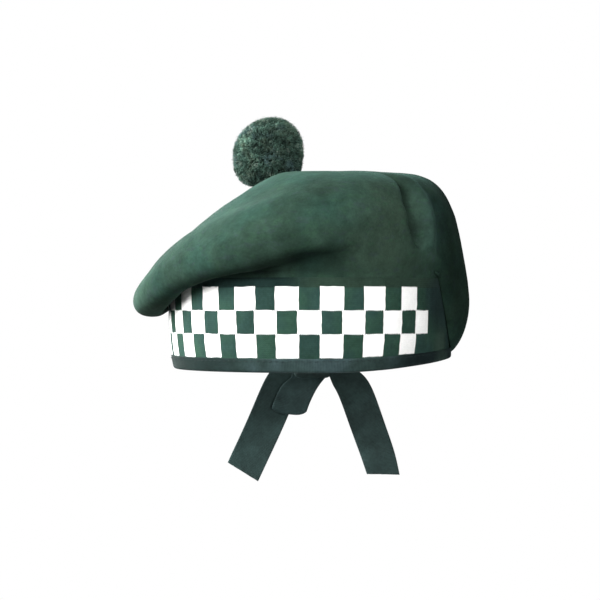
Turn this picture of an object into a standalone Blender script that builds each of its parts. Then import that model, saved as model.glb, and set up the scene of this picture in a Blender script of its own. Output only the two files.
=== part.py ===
"""Balmoral bonnet: a soft felted crown on a knitted head band, with a wool pompom (toorie), a ribbon binding
round the rim and ribbon ends hanging from a knot at the back.

Frame: metres, +Z up, the face of the wearer looks along -Y, +X is the wearer's left. The origin is the
middle of the rim, at the rim's lowest level. Sizes below are millimetres and become metres in to_object().
"""

import math

import bmesh
import bpy
import numpy as np

COLLECTION = "balmoral_bonnet"
MM = 0.001

# ---------------------------------------------------------------- driving sizes, millimetres
RIM_HALF_WIDTH = 88.0     # outer face of the head band at the rim, wearer's left to right
RIM_HALF_LENGTH = 102.6   # the same, front to back
BAND_BOTTOM = 1.5         # the band's cut edge, inside the binding
BAND_TOP = 57.0
BAND_WALL = 2.8           # double knitted wool
BAND_FLARE = 5.3          # the band leans out towards its top by this much
FLARE_RISE = 20.0         # height over which most of the flare happens
FLARE_FROM, FLARE_TO = 0.0, 70.0   # stations between which the flare grows from none to all
RIM_LIFT_FADE = 26.0      # the raised part of the rim dies out at this height
SEAM_GAP = 0.3

CROWN_WALL = 1.6          # felted wool cloth
BUTTON_X, BUTTON_Z = -27.0, 119.5  # the crown's middle, under the toorie

BINDING_WALL = 0.8
BINDING_HEIGHT = 8.6
BINDING_OUT = 1.1         # its outer face stands this far off the band's outer face
BINDING_IN = 3.9

TOORIE_X, TOORIE_Z = -28.8, 138.6
TOORIE_RADIUS = 22.6
TOORIE_FULL = 2.9         # roundness of its lower half: 2 is a ball, more is squarer
TOORIE_TILT = 15.0        # degrees, with the slope of the crown under it
TOORIE_GAP = 0.4

RIBBON_WIDTH = 24.6
RIBBON_WALL = 1.0
KNOT_SIZE = (21.0, 8.0, 17.0)
KNOT_Z = -1.6
KNOT_OFF = 0.4            # between the knot and the binding

# ---------------------------------------------------------------- section tables
# Stations are degrees round the rim's oval: 0 is the wearer's left, where the crown stands up, 90 the front
# and the back, 180 the wearer's right, where it is pulled down. Each entry is (out, z): out is the distance
# from the band's top edge, square to it, and z the height.

RIM_LIFT = ((0, 7.0), (15, 6.4), (36, 4.4), (48, 3.0), (62, 1.3), (82, 0.0), (180, 0.0))

FOLD_COLUMNS = ("gutter", "inside", "lip", "outside", "edge")
FOLD = (
    # station  gutter       inside        lip           outside       edge
    (0, (1.0, 61.2), (1.4, 14.6), (4.0, 10.3), (7.0, 15.8), (12.6, 41.0)),
    (13, (1.0, 61.2), (1.3, 21.2), (3.9, 16.1), (7.0, 22.2), (11.6, 44.8)),
    (24, (1.1, 61.0), (1.5, 41.6), (4.1, 35.4), (7.0, 41.6), (10.0, 58.0)),
    (34, (0.8, 60.8), (2.6, 60.8), (5.0, 60.4), (7.0, 64.5), (7.4, 76.0)),
    (46, (0.2, 60.5), (0.7, 64.0), (1.4, 68.0), (2.3, 73.0), (3.6, 84.0)),
    (66, (0.2, 60.5), (0.5, 64.0), (0.9, 68.0), (1.5, 73.0), (3.4, 85.0)),
    (76, (0.1, 60.5), (0.2, 65.5), (0.6, 70.5), (2.4, 75.5), (6.0, 86.5)),
    (86, (0.0, 60.5), (0.0, 66.0), (2.0, 70.6), (7.2, 74.6), (9.8, 85.0)),
    (98, (-0.5, 60.5), (-0.4, 64.4), (4.2, 67.2), (10.8, 70.8), (13.6, 81.0)),
    (112, (-0.2, 59.8), (2.0, 60.6), (8.4, 60.8), (14.6, 65.4), (17.4, 77.5)),
    (124, (0.6, 60.4), (3.4, 59.0), (10.4, 56.6), (17.0, 61.0), (19.8, 72.5)),
    (140, (1.0, 61.0), (2.6, 54.0), (8.6, 49.6), (15.6, 53.4), (19.4, 63.0)),
    (158, (1.1, 61.2), (2.1, 43.0), (8.8, 38.4), (17.2, 41.4), (21.4, 51.0)),
    (180, (1.1, 61.2), (1.8, 37.4), (9.0, 33.2), (18.4, 35.8), (22.4, 45.0)),
)

# From the edge up over the top: wall, shoulder and brow are (out, z) too; top and crest are (share, z), the
# share of the way in from the band's edge to the button.
DOME_COLUMNS = ("wall", "shoulder", "brow", "top", "crest")
DOME = (
    # station  wall          shoulder       brow           top            crest
    (0, (8.2, 76.0), (1.4, 103.5), (-11.8, 120.6), (0.28, 124.8), (0.66, 124.6)),
    (45, (3.4, 97.0), (-3.0, 109.0), (-15.0, 119.0), (0.34, 123.6), (0.68, 124.0)),
    (90, (7.0, 96.0), (-1.5, 106.0), (-16.0, 114.6), (0.40, 121.4), (0.70, 122.4)),
    (135, (16.8, 74.0), (6.8, 85.2), (-6.0, 93.6), (0.40, 106.0), (0.70, 114.2)),
    (180, (15.4, 55.4), (4.9, 68.4), (-5.6, 77.9), (0.36, 94.2), (0.67, 108.2)),
)

# Dents and ridges pressed into the wall at the front: each runs along a path of (station, z), with a width
# and a height square to the cloth, inwards where it is negative.
DENT_COLUMNS = ("path", "width", "height")
DENTS = (
    (((47.0, 118.0), (52.0, 103.0), (51.0, 90.0), (47.5, 70.0)), 3.2, -5.0),   # the upright crease
    (((41.0, 115.0), (44.4, 106.0), (43.0, 78.0)), 6.5, 4.2),                  # the full ridge beside it
    (((33.0, 110.0), (34.0, 78.0)), 6.5, -2.6),                                # the hollow after the ridge
)

# The profile of the crown is cut into this many steps between one column and the next.
PROFILE_STEPS = (1, 1, 1, 1, 2, 2, 2, 2, 2, 2, 2, 2, 2, 1, 1)

# ---------------------------------------------------------------- ribbons at the back
# Rows of a strip's middle line in the plane behind the rim: x, z, stand-off from the binding, width, and the
# lean of its cross line from level in degrees.
RIBBON_COLUMNS = ("x", "z", "off", "width", "lean")
TAIL_LEFT = (
    (-11.3, -1.5, 5.4, 12.0, -90.0),
    (-14.2, -4.5, 6.4, 15.5, -70.0),
    (-17.4, -8.0, 7.8, 19.5, -48.0),
    (-20.2, -12.5, 9.0, 23.4, -30.0),
    (-23.6, -20.0, 10.2, 25.0, -24.0),
    (-33.0, -42.0, 9.8, 25.0, -23.6),
    (-42.1, -61.8, 8.6, 24.8, -25.0),
    (-48.2, -74.8, 7.6, 24.8, -33.0),
)
TAIL_RIGHT = (
    (11.3, -1.5, 3.0, 12.0, 90.0),
    (14.8, -4.5, 3.2, 13.5, 70.0),
    (19.6, -8.0, 3.6, 17.0, 48.0),
    (25.2, -12.5, 4.2, 21.6, 28.0),
    (29.8, -20.0, 4.6, 23.4, 21.0),
    (37.9, -42.0, 4.2, 23.6, 19.0),
    (44.9, -62.0, 3.4, 23.2, 12.0),
    (48.8, -76.2, 2.8, 22.4, 0.0),
)
LOOP_DOWN = (
    (-3.9, -10.8, 1.2, 20.0, -4.0),
    (-9.6, -17.5, 1.7, 23.0, -14.0),
    (-13.5, -25.0, 2.3, 23.5, -20.0),
    (-16.1, -31.6, 2.6, 24.6, -5.0),
)
LOOP_FOLD = 2.0           # radius of the loop's bottom fold


# ---------------------------------------------------------------- curves and tables
def slopes(x, y):
    """Slopes of a curve through the points that never overshoots them, level at both ends."""
    h = np.diff(x)[:, None]
    d = np.diff(y, axis=0) / h
    m = np.zeros_like(y)
    left, right = d[:-1], d[1:]
    w1, w2 = 2 * h[1:] + h[:-1], h[1:] + 2 * h[:-1]
    same = left * right > 0
    safe_left, safe_right = np.where(same, left, 1.0), np.where(same, right, 1.0)
    m[1:-1] = np.where(same, (w1 + w2) / (w1 / safe_left + w2 / safe_right), 0.0)
    return m


def along(x, y, at):
    """The values at `at` of the smooth curve through the rows (x, y)."""
    x, y = np.asarray(x, float), np.asarray(y, float)
    m = slopes(x, y)
    at = np.clip(np.atleast_1d(at), x[0], x[-1])
    i = np.clip(np.searchsorted(x, at, side="right") - 1, 0, len(x) - 2)
    h = (x[i + 1] - x[i])[:, None]
    t = ((at - x[i])[:, None]) / h
    return (
        (2 * t**3 - 3 * t**2 + 1) * y[i]
        + (t**3 - 2 * t**2 + t) * h * m[i]
        + (3 * t**2 - 2 * t**3) * y[i + 1]
        + (t**3 - t**2) * h * m[i + 1]
    )


def by_station(rows, station, spread=4.0):
    """A table's row at a station, softened over a few degrees so that no section shows as a kink."""
    x = [row[0] for row in rows]
    y = [np.ravel(row[1:]) for row in rows]
    total, weight = 0.0, 0.0
    for step in (-2, -1, 0, 1, 2):
        at = abs(station + step * spread / 2)
        at = 360 - at if at > 180 else at
        share = math.exp(-0.5 * step**2)
        total = total + share * along(x, y, at)[0]
        weight += share
    return total / weight


def spline(points, steps):
    """Points on the natural cubic through `points`, `steps[i]` of them from each point to the next."""
    p = np.asarray(points, float)
    chord = np.linalg.norm(np.diff(p, axis=0), axis=1) ** 0.5
    t = np.concatenate([[0], np.cumsum(chord)])
    n = len(t)
    h = np.diff(t)
    a = np.zeros((n, n))
    b = np.zeros((n, p.shape[1]))
    a[0, 0] = a[-1, -1] = 1
    for i in range(1, n - 1):
        a[i, i - 1 : i + 2] = h[i - 1], 2 * (h[i - 1] + h[i]), h[i]
        b[i] = 3 * ((p[i + 1] - p[i]) / h[i] - (p[i] - p[i - 1]) / h[i - 1])
    c = np.linalg.solve(a, b)
    out = []
    for i, count in enumerate(steps):
        d = (c[i + 1] - c[i]) / (3 * h[i])
        s = (p[i + 1] - p[i]) / h[i] - h[i] * (2 * c[i] + c[i + 1]) / 3
        for k in range(count):
            u = h[i] * k / count
            out.append(p[i] + s * u + c[i] * u**2 + d * u**3)
    out.append(p[-1])
    return np.array(out)


def smooth(x):
    x = min(max(x, 0.0), 1.0)
    return x * x * (3 - 2 * x)


# ---------------------------------------------------------------- the rim's oval
def station_of(angle):
    """Degrees from the wearer's left, 0 to 180, of an angle round the oval."""
    angle = (angle + 180) % 360 - 180
    return abs(angle)


def oval(angle):
    """The rim's point at this angle and its outward direction, in plan."""
    t = math.radians(angle)
    point = np.array([RIM_HALF_WIDTH * math.cos(t), RIM_HALF_LENGTH * math.sin(t)])
    normal = np.array([math.cos(t) / RIM_HALF_WIDTH, math.sin(t) / RIM_HALF_LENGTH])
    return point, normal / np.linalg.norm(normal)


def band_point(angle, out, z):
    """A point off the band's outer face by `out`, at the band's height z, with its flare and raised rim."""
    point, normal = oval(angle)
    station = station_of(angle)
    flare = BAND_FLARE * smooth((station - FLARE_FROM) / (FLARE_TO - FLARE_FROM))
    flare *= 1 - math.exp(-max(z, 0.0) / FLARE_RISE)
    lift = by_station(RIM_LIFT, station)[0] * (1 - smooth(z / RIM_LIFT_FADE))
    return np.array([*(point + normal * (out + flare)), z + lift])


# ---------------------------------------------------------------- the crown
def crown_profile(angle):
    """Points of the crown's outer face at one angle, from the seam on the band to the button."""
    station = station_of(angle)
    fold = by_station(FOLD, station).reshape(-1, 2)
    dome = by_station(DOME, station, spread=8.0).reshape(-1, 2)
    foot = band_point(angle, 0.0, BAND_TOP)
    _, normal = oval(angle)
    button = np.array([BUTTON_X, 0.0, BUTTON_Z])

    def beside(out, z):
        return np.array([*(foot[:2] + normal * out), z])

    def inwards(share, z):
        return np.array([*(foot[:2] + (button[:2] - foot[:2]) * share), z])

    # The cloth stands up from the seam and turns over in a small round gutter before it falls or rises.
    gutter, inside = fold[0], fold[1]
    run = (inside - gutter) / np.linalg.norm(inside - gutter)
    after = gutter + run + (0.9 * gutter[0] * max(-run[1], 0.0), 0.0)
    points = [beside(0.0, BAND_TOP + SEAM_GAP), beside(0.0, BAND_TOP + 1.4)]
    points += [beside(0.12 * gutter[0], gutter[1] - 1.0), beside(*gutter), beside(*after)]
    points += [beside(out, z) for out, z in fold[1:]]
    points += [beside(out, z) for out, z in dome[:3]]
    points += [inwards(share, z) for share, z in dome[3:]]
    points += [inwards(0.88, BUTTON_Z + 0.22 * (dome[4][1] - BUTTON_Z)), button]
    return spline(points, PROFILE_STEPS)


def press_dents(grid, angles):
    """Moves the wall's points in and out along the dents."""
    across = np.roll(grid, -1, axis=0) - np.roll(grid, 1, axis=0)
    up = np.gradient(grid, axis=1)
    normal = np.cross(across, up)
    size = np.linalg.norm(normal, axis=2, keepdims=True)
    normal = normal / np.where(size > 1e-9, size, 1.0)
    first = sum(PROFILE_STEPS[:7])
    for path, width, height in DENTS:
        path = [np.array([-station * math.pi / 180 * 98.0, z]) for station, z in path]
        legs = [np.linalg.norm(b - a) for a, b in zip(path[:-1], path[1:])]
        for i, angle in enumerate(angles):
            wrapped = (angle + 180) % 360 - 180
            for j in range(first, grid.shape[1] - 1):
                here = np.array([wrapped * math.pi / 180 * 98.0, grid[i, j, 2]])
                if abs(here[0] - path[0][0]) > 60 or grid[i, j, 1] > 0:
                    continue
                if np.linalg.norm(grid[i, j, :2] - [BUTTON_X, 0]) < 45:
                    continue
                done, best, share = 0.0, math.inf, 0.0
                for a, b, leg in zip(path[:-1], path[1:], legs):
                    t = np.clip(np.dot(here - a, b - a) / leg**2, 0, 1)
                    d = np.linalg.norm(here - a - t * (b - a))
                    if d < best:
                        best, share = d, (done + t * leg) / sum(legs)
                    done += leg
                fade = 0.35 + 0.65 * math.sin(math.pi * (0.1 + 0.8 * share))
                grid[i, j] += normal[i, j] * height * fade * math.exp(-((best / width) ** 2))
    return grid


def crown_angles():
    """Angles of the crown's sections: closer together where it folds down and at the crease."""
    angles, angle = [], -180.0
    while angle < 180.0 - 1e-6:
        angles.append(angle)
        station = abs(angle)
        creased = angle < 0 and 41 < station <= 59
        angle += 2.0 if creased else 4.5 if station < 41 else 7.0
    return angles


# ---------------------------------------------------------------- mesh building
def to_object(name, points, faces, smooth_shade=True):
    mesh = bpy.data.meshes.new(name)
    mesh.from_pydata([tuple(np.asarray(p) * MM) for p in points], [], faces)
    mesh.validate()
    obj = bpy.data.objects.new(name, mesh)
    PARTS.objects.link(obj)
    if smooth_shade:
        mesh.shade_smooth()
    return obj


def grid_faces(rows, columns, wrap):
    """Quads of a grid of points, one row after another; with wrap the last row joins the first."""
    faces = []
    for i in range(rows if wrap else rows - 1):
        k = (i + 1) % rows
        for j in range(columns - 1):
            faces.append((i * columns + j, k * columns + j, k * columns + j + 1, i * columns + j + 1))
    return faces


def solidify(obj, wall, inwards=True, even=True):
    shell = obj.modifiers.new("wall", "SOLIDIFY")
    shell.thickness = wall * MM
    shell.offset = -1.0 if inwards else 0.0
    shell.use_even_offset = even
    shell.use_quality_normals = True
    return shell


def face_out(obj, away_from):
    """Turns the open surface so that its faces look away from a point."""
    work = bmesh.new()
    work.from_mesh(obj.data)
    bmesh.ops.recalc_face_normals(work, faces=work.faces)
    total = sum(
        (face.calc_center_median() - away_from).dot(face.normal) * face.calc_area()
        for face in work.faces
    )
    if total < 0:
        bmesh.ops.reverse_faces(work, faces=work.faces)
    work.to_mesh(obj.data)
    work.free()


def material(name, colour, roughness):
    made = bpy.data.materials.new(name)
    made.use_nodes = True
    shader = made.node_tree.nodes["Principled BSDF"]
    shader.inputs["Base Color"].default_value = (*colour, 1.0)
    shader.inputs["Roughness"].default_value = roughness
    shader.inputs["Metallic"].default_value = 0.0
    made.diffuse_color = (*colour, 1.0)
    return made


def make_crown():
    angles = crown_angles()
    grid = press_dents(np.array([crown_profile(angle) for angle in angles]), angles)
    rows, columns = grid.shape[0], grid.shape[1] - 1
    points = [p for row in grid for p in row[:-1]]
    faces = grid_faces(rows, columns, wrap=True)
    points.append(grid[0, -1])
    for i in range(rows):
        faces.append((i * columns + columns - 1, (i + 1) % rows * columns + columns - 1, len(points) - 1))
    crown = to_object("crown", points, faces)
    face_out(crown, crown.data.vertices[0].co * 0 + crown.data.vertices[-1].co * 0.7)
    # An even offset would grow a spike inside the small folds.
    solidify(crown, CROWN_WALL, even=False)
    return crown


def ring(name, section, count):
    """A surface swept round the band's oval through the section's (out, z) points."""
    points = [
        band_point(360.0 * i / count, out, z) for i in range(count) for out, z in section
    ]
    faces = grid_faces(count, len(section), wrap=True)
    made = to_object(name, points, faces)
    return made


def make_band():
    section = [(0.0, z) for z in (BAND_BOTTOM, 10.0, 24.0, 40.0, BAND_TOP)]
    band = ring("head_band", section, 48)
    face_out(band, band.data.vertices[0].co * 0)
    solidify(band, BAND_WALL)
    return band


def make_binding():
    o, i, h = BINDING_OUT, BINDING_IN, BINDING_HEIGHT
    section = [(o, h), (o, 1.0), (o - 0.7, 0.1), (-i + 0.7, 0.1), (-i, 1.0), (-i, h)]
    binding = ring("edge_binding", section, 48)
    # The binding is folded over the rim, so its outer faces look away from the band's wall.
    work = bmesh.new()
    work.from_mesh(binding.data)
    bmesh.ops.recalc_face_normals(work, faces=work.faces)
    work.faces.ensure_lookup_table()
    outer = max(work.faces, key=lambda f: f.calc_center_median().x)
    if outer.normal.x < 0:
        bmesh.ops.reverse_faces(work, faces=work.faces)
    work.to_mesh(binding.data)
    work.free()
    solidify(binding, BINDING_WALL)
    return binding


def make_toorie():
    """A wool ball, fuller at its upper right, flattened where it sits on the crown."""
    work = bmesh.new()
    bmesh.ops.create_uvsphere(work, u_segments=24, v_segments=14, radius=1.0)
    tilt = math.radians(TOORIE_TILT)
    level = TOORIE_Z - BUTTON_Z - TOORIE_GAP
    for vert in work.verts:
        d = np.array(vert.co)
        radius = TOORIE_RADIUS * (
            1 + 0.05 * max(d @ [0.64, 0, 0.77], 0) ** 3 - 0.04 * max(d @ [-0.6, 0, 0.8], 0) ** 3
        )
        if d[2] < 0:
            side = math.hypot(d[0], d[1])
            radius /= (side**TOORIE_FULL + abs(d[2]) ** TOORIE_FULL) ** (1 / TOORIE_FULL)
        p = d * radius
        # Flattened against the plane of the crown's slope.
        down = np.array([math.sin(tilt), 0, -math.cos(tilt)])
        depth = p @ down
        reach = level * math.cos(tilt) + (BUTTON_X - TOORIE_X) * -math.sin(tilt)
        if depth > reach:
            p = p - down * (depth - reach)
        vert.co = (p + [TOORIE_X, 0, TOORIE_Z]) * MM
    mesh = bpy.data.meshes.new("toorie")
    bmesh.ops.dissolve_degenerate(work, dist=0.02 * MM, edges=work.edges)
    work.to_mesh(mesh)
    work.free()
    mesh.shade_smooth()
    toorie = bpy.data.objects.new("toorie", mesh)
    PARTS.objects.link(toorie)
    return toorie


# ---------------------------------------------------------------- ribbons
def back_face(x, z):
    """How far back the binding's and the band's outer face reaches at this x, behind the rim."""
    ratio = math.sqrt(max(1 - (x / (RIM_HALF_WIDTH + 4)) ** 2, 0.0))
    flare = BAND_FLARE * (1 - math.exp(-max(z, 0.0) / FLARE_RISE))
    return RIM_HALF_LENGTH * ratio + BINDING_OUT + flare


def strip_rows(table, steps):
    rows = spline([list(row) for row in table], [steps] * (len(table) - 1))
    return rows


def strip_points(row, across, extra=0.0):
    """Points across a strip at one row of its middle line."""
    x, z, off, width, lean = row
    t = math.radians(lean)
    points = []
    for k in range(across + 1):
        w = (k / across - 0.5) * width
        px, pz = x + w * math.cos(t), z + w * math.sin(t)
        cup = 0.6 * math.cos(math.pi * (k / across - 0.5))
        points.append(np.array([px, back_face(x, z) + 0.35 * (back_face(px, z) - back_face(x, z)) + off + cup + extra, pz]))
    return points


def make_tail(name, table):
    across = 3
    rows = strip_rows(table, 3)
    points = [p for row in rows for p in strip_points(row, across)]
    tail = to_object(name, points, grid_faces(len(rows), across + 1, wrap=False))
    solidify(tail, RIBBON_WALL, inwards=False)
    return tail


def make_loop():
    """A strip that runs down, folds back at its rounded bottom and runs up again behind itself."""
    across = 3
    rows = strip_rows(LOOP_DOWN, 2)
    front = [strip_points(row, across) for row in rows]
    last, t = rows[-1], math.radians(rows[-1][4])
    drop = np.array([math.sin(t), 0.0, -math.cos(t)])
    run = list(front)
    for k in range(1, 6):
        turn = math.pi * k / 6
        centre = front[-1]
        # The fold is rounded off towards its free corner.
        run.append(
            [
                p + drop * (1.6 + 2.2 * (1 - abs(2 * i / across - 1) ** 4)) * math.sin(turn)
                + np.array([0, LOOP_FOLD * (1 - math.cos(turn)), 0])
                for i, p in enumerate(centre)
            ]
        )
    for i, row in enumerate(reversed(front)):
        share = i / (len(front) - 1)
        run.append([p + np.array([0, 2 * LOOP_FOLD * (1 - 0.45 * share), 0]) for p in row])
    points = [p for row in run for p in row]
    loop = to_object("ribbon_loop", points, grid_faces(len(run), across + 1, wrap=False))
    solidify(loop, RIBBON_WALL, inwards=False)
    return loop


def make_knot():
    """The knot: a rounded pad over the tops of the ribbons."""
    work = bmesh.new()
    bmesh.ops.create_cube(work, size=1.0)
    for vert in work.verts:
        x, y, z = vert.co
        vert.co = (
            x * KNOT_SIZE[0] * MM * (1.0 if z > 0 else 0.92),
            (back_face(0, KNOT_Z + z * KNOT_SIZE[2]) + KNOT_OFF + (0.5 + y) * KNOT_SIZE[1]) * MM,
            (KNOT_Z + z * KNOT_SIZE[2]) * MM,
        )
    mesh = bpy.data.meshes.new("ribbon_knot")
    work.to_mesh(mesh)
    work.free()
    mesh.shade_smooth()
    knot = bpy.data.objects.new("ribbon_knot", mesh)
    PARTS.objects.link(knot)
    rounding = knot.modifiers.new("round", "BEVEL")
    rounding.width = 2.2 * MM
    rounding.segments = 3
    rounding.limit_method = "NONE"
    return knot


# ---------------------------------------------------------------- the bonnet
for old in list(bpy.data.objects):
    bpy.data.objects.remove(old, do_unlink=True)
PARTS = bpy.data.collections.new(COLLECTION)
bpy.context.scene.collection.children.link(PARTS)

FELT = material("green_felt", (0.035, 0.085, 0.065), 0.95)
KNIT = material("diced_knit", (0.20, 0.26, 0.23), 0.95)
BRAID = material("slate_ribbon", (0.030, 0.048, 0.050), 0.70)
YARN = material("green_yarn", (0.030, 0.065, 0.045), 0.98)

for piece, finish in (
    (make_crown(), FELT),
    (make_band(), KNIT),
    (make_binding(), BRAID),
    (make_toorie(), YARN),
    (make_tail("ribbon_tail_left", TAIL_LEFT), BRAID),
    (make_tail("ribbon_tail_right", TAIL_RIGHT), BRAID),
    (make_loop(), BRAID),
    (make_knot(), BRAID),
):
    piece.data.materials.append(finish)
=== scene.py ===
"""Balmoral bonnet: the visible surfaces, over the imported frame.

Sizes are millimetres in the frame's axes (+Z up, the wearer looks along -Y, +X is the wearer's left) and become
metres in to_mesh(). The section tables are the same as the construction's.
"""

import math
import random

import bmesh
import bpy
import numpy as np
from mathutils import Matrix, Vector, noise


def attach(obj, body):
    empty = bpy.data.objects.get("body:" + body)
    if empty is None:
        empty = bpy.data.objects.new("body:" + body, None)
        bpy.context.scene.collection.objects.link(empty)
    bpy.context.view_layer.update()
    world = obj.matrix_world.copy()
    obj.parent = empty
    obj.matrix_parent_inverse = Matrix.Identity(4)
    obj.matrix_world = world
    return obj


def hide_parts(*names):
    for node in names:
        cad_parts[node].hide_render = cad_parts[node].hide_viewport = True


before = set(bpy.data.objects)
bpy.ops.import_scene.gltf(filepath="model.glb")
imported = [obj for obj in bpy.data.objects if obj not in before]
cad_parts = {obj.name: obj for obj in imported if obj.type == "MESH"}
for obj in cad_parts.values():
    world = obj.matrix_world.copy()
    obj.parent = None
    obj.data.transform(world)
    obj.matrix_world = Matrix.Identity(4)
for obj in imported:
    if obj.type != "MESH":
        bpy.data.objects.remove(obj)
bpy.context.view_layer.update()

MM = 0.001

# ---------------------------------------------------------------- driving sizes, millimetres
RIM_HALF_WIDTH = 88.0
RIM_HALF_LENGTH = 102.6
BAND_BOTTOM = 1.5
BAND_TOP = 57.0
BAND_WALL = 2.8
BAND_FLARE = 5.3
FLARE_RISE = 20.0
FLARE_FROM, FLARE_TO = 0.0, 70.0
RIM_LIFT_FADE = 26.0

CROWN_WALL = 1.6
BUTTON_X, BUTTON_Z = -27.0, 119.5

BINDING_HEIGHT = 8.6
BINDING_OUT = 1.1
BINDING_IN = 3.9

TOORIE_X, TOORIE_Z = -28.8, 138.6
TOORIE_RADIUS = 22.6
TOORIE_FULL = 2.9
TOORIE_TILT = 15.0
TOORIE_GAP = 0.4

RIBBON_WALL = 0.7
KNOT_SIZE = (27.0, 8.0, 17.6)
KNOT_Z = -1.6
KNOT_OFF = 0.4
LOOP_FOLD = 1.0

# Dicing: squares in three rows, from the wearer's left front round the right side to the left back.
DICE_FOOT = 8.6            # height of the lowest row's bottom
DICE_RISE = 14.2           # height of a row
DICE_COLUMNS = 36
DICE_START = -38.7         # the oval's angle where the first column begins, at mid height
STITCH_ACROSS = 10         # wales in a square
STITCH_UP = 12             # courses in a square

# ---------------------------------------------------------------- section tables
RIM_LIFT = ((0, 7.0), (15, 6.4), (36, 4.4), (48, 3.0), (62, 1.3), (82, 0.0), (180, 0.0))

FOLD = (
    # station  gutter       inside        lip           outside       edge
    (0, (0.15, 61.2), (0.15, 13.2), (0.9, 10.3), (6.0, 15.8), (13.7, 41.0)),
    (13, (0.15, 61.2), (0.15, 19.4), (0.75, 16.9), (5.2, 22.2), (12.0, 44.8)),
    (24, (0.15, 61.0), (0.15, 39.8), (0.65, 37.6), (3.8, 41.8), (8.0, 58.0)),
    (34, (0.15, 60.6), (0.3, 61.8), (0.7, 63.2), (3.0, 67.5), (5.6, 77.0)),
    (46, (0.2, 60.5), (0.7, 64.0), (1.4, 68.0), (2.3, 73.0), (3.6, 84.0)),
    (66, (0.2, 60.5), (0.5, 64.0), (0.9, 68.0), (1.5, 73.0), (3.4, 85.0)),
    (76, (0.1, 60.5), (0.2, 65.5), (0.6, 70.5), (2.4, 75.5), (6.0, 86.5)),
    (86, (0.0, 60.5), (0.0, 66.0), (2.0, 70.6), (7.2, 74.6), (9.8, 85.0)),
    (98, (-0.5, 60.5), (-0.4, 64.4), (4.2, 67.2), (10.8, 70.8), (13.6, 81.0)),
    (112, (-0.2, 59.8), (2.0, 60.6), (8.4, 60.8), (14.6, 65.4), (17.4, 77.5)),
    (124, (0.6, 60.4), (3.4, 59.0), (10.4, 56.6), (17.0, 61.0), (19.8, 72.5)),
    (140, (1.0, 61.0), (2.6, 54.0), (8.6, 49.6), (15.6, 53.4), (19.4, 63.0)),
    (158, (1.1, 61.2), (2.1, 43.0), (8.8, 38.4), (17.5, 41.1), (22.0, 50.8)),
    (180, (1.1, 61.2), (1.8, 37.4), (9.0, 33.0), (19.0, 35.4), (23.2, 44.8)),
)

DOME = (
    # station  wall          shoulder       brow           top            crest
    (0, (9.1, 76.0), (2.1, 103.5), (-10.9, 120.6), (0.28, 125.4), (0.66, 125.2)),
    (45, (3.4, 97.0), (-3.0, 109.0), (-15.0, 119.0), (0.34, 124.2), (0.68, 124.6)),
    (90, (7.0, 96.0), (-1.5, 106.0), (-16.0, 114.6), (0.40, 122.3), (0.70, 123.4)),
    (135, (16.8, 74.0), (6.8, 85.2), (-6.0, 93.6), (0.40, 106.0), (0.70, 114.2)),
    (180, (16.0, 55.4), (4.9, 68.4), (-5.6, 77.9), (0.36, 94.2), (0.67, 108.2)),
)

# Dents and ridges at the front, each along a path of (station, z), with its width and its height square to the cloth.
DENTS = (
    (((47.2, 118.0), (51.6, 103.0), (50.4, 90.0), (47.4, 80.0), (44.8, 69.0)), 2.8, -7.0),
    (((41.0, 115.0), (43.8, 106.0), (41.6, 74.0)), 6.2, 4.5),
    (((33.0, 111.0), (34.0, 74.0)), 6.5, -3.2),
)

# The profile's fine steps from one column of the tables to the next, and the columns after which dents and
# creases may move the cloth.
FINE_STEPS = (1, 1, 2, 1, 2, 7, 9, 8, 9, 11, 10, 10, 10, 13, 9, 8)
COARSE_LIP = 8

TAIL_LEFT = (
    # x, z, stand-off, width, lean
    (-11.3, -1.5, 5.4, 12.0, -90.0),
    (-14.2, -4.5, 6.4, 15.5, -70.0),
    (-17.4, -8.0, 7.8, 19.5, -48.0),
    (-20.2, -12.5, 9.0, 23.4, -30.0),
    (-23.6, -20.0, 10.2, 25.0, -24.0),
    (-33.0, -42.0, 9.8, 25.0, -23.6),
    (-42.1, -61.8, 8.6, 24.8, -25.0),
    (-48.2, -74.8, 7.6, 24.8, -33.0),
)
TAIL_RIGHT = (
    (11.3, -1.5, 3.0, 12.0, 90.0),
    (14.8, -4.5, 3.2, 13.5, 70.0),
    (19.6, -8.0, 3.6, 17.0, 48.0),
    (25.2, -12.5, 4.2, 21.6, 28.0),
    (29.8, -20.0, 4.6, 23.4, 21.0),
    (37.9, -42.0, 4.2, 23.6, 19.0),
    (44.9, -62.0, 3.4, 23.2, 12.0),
    (48.8, -76.2, 2.8, 22.4, 0.0),
)
LOOP_DOWN = (
    # and how much further back its left edge lies than its right one
    (-1.0, -6.5, 2.7, 26.6, 0.0, 1.8),
    (-3.9, -10.8, 3.0, 22.8, -4.0, 3.0),
    (-9.6, -17.5, 3.8, 23.0, -14.0, 5.0),
    (-13.5, -25.0, 4.2, 23.5, -20.0, 5.4),
    (-16.1, -31.6, 4.1, 24.6, -5.0, 4.8),
)


# ---------------------------------------------------------------- curves and tables
def slopes(x, y):
    """Slopes of a curve through the points that never overshoots them, level at both ends."""
    h = np.diff(x)[:, None]
    d = np.diff(y, axis=0) / h
    m = np.zeros_like(y)
    left, right = d[:-1], d[1:]
    w1, w2 = 2 * h[1:] + h[:-1], h[1:] + 2 * h[:-1]
    same = left * right > 0
    safe_left, safe_right = np.where(same, left, 1.0), np.where(same, right, 1.0)
    m[1:-1] = np.where(same, (w1 + w2) / (w1 / safe_left + w2 / safe_right), 0.0)
    return m


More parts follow.
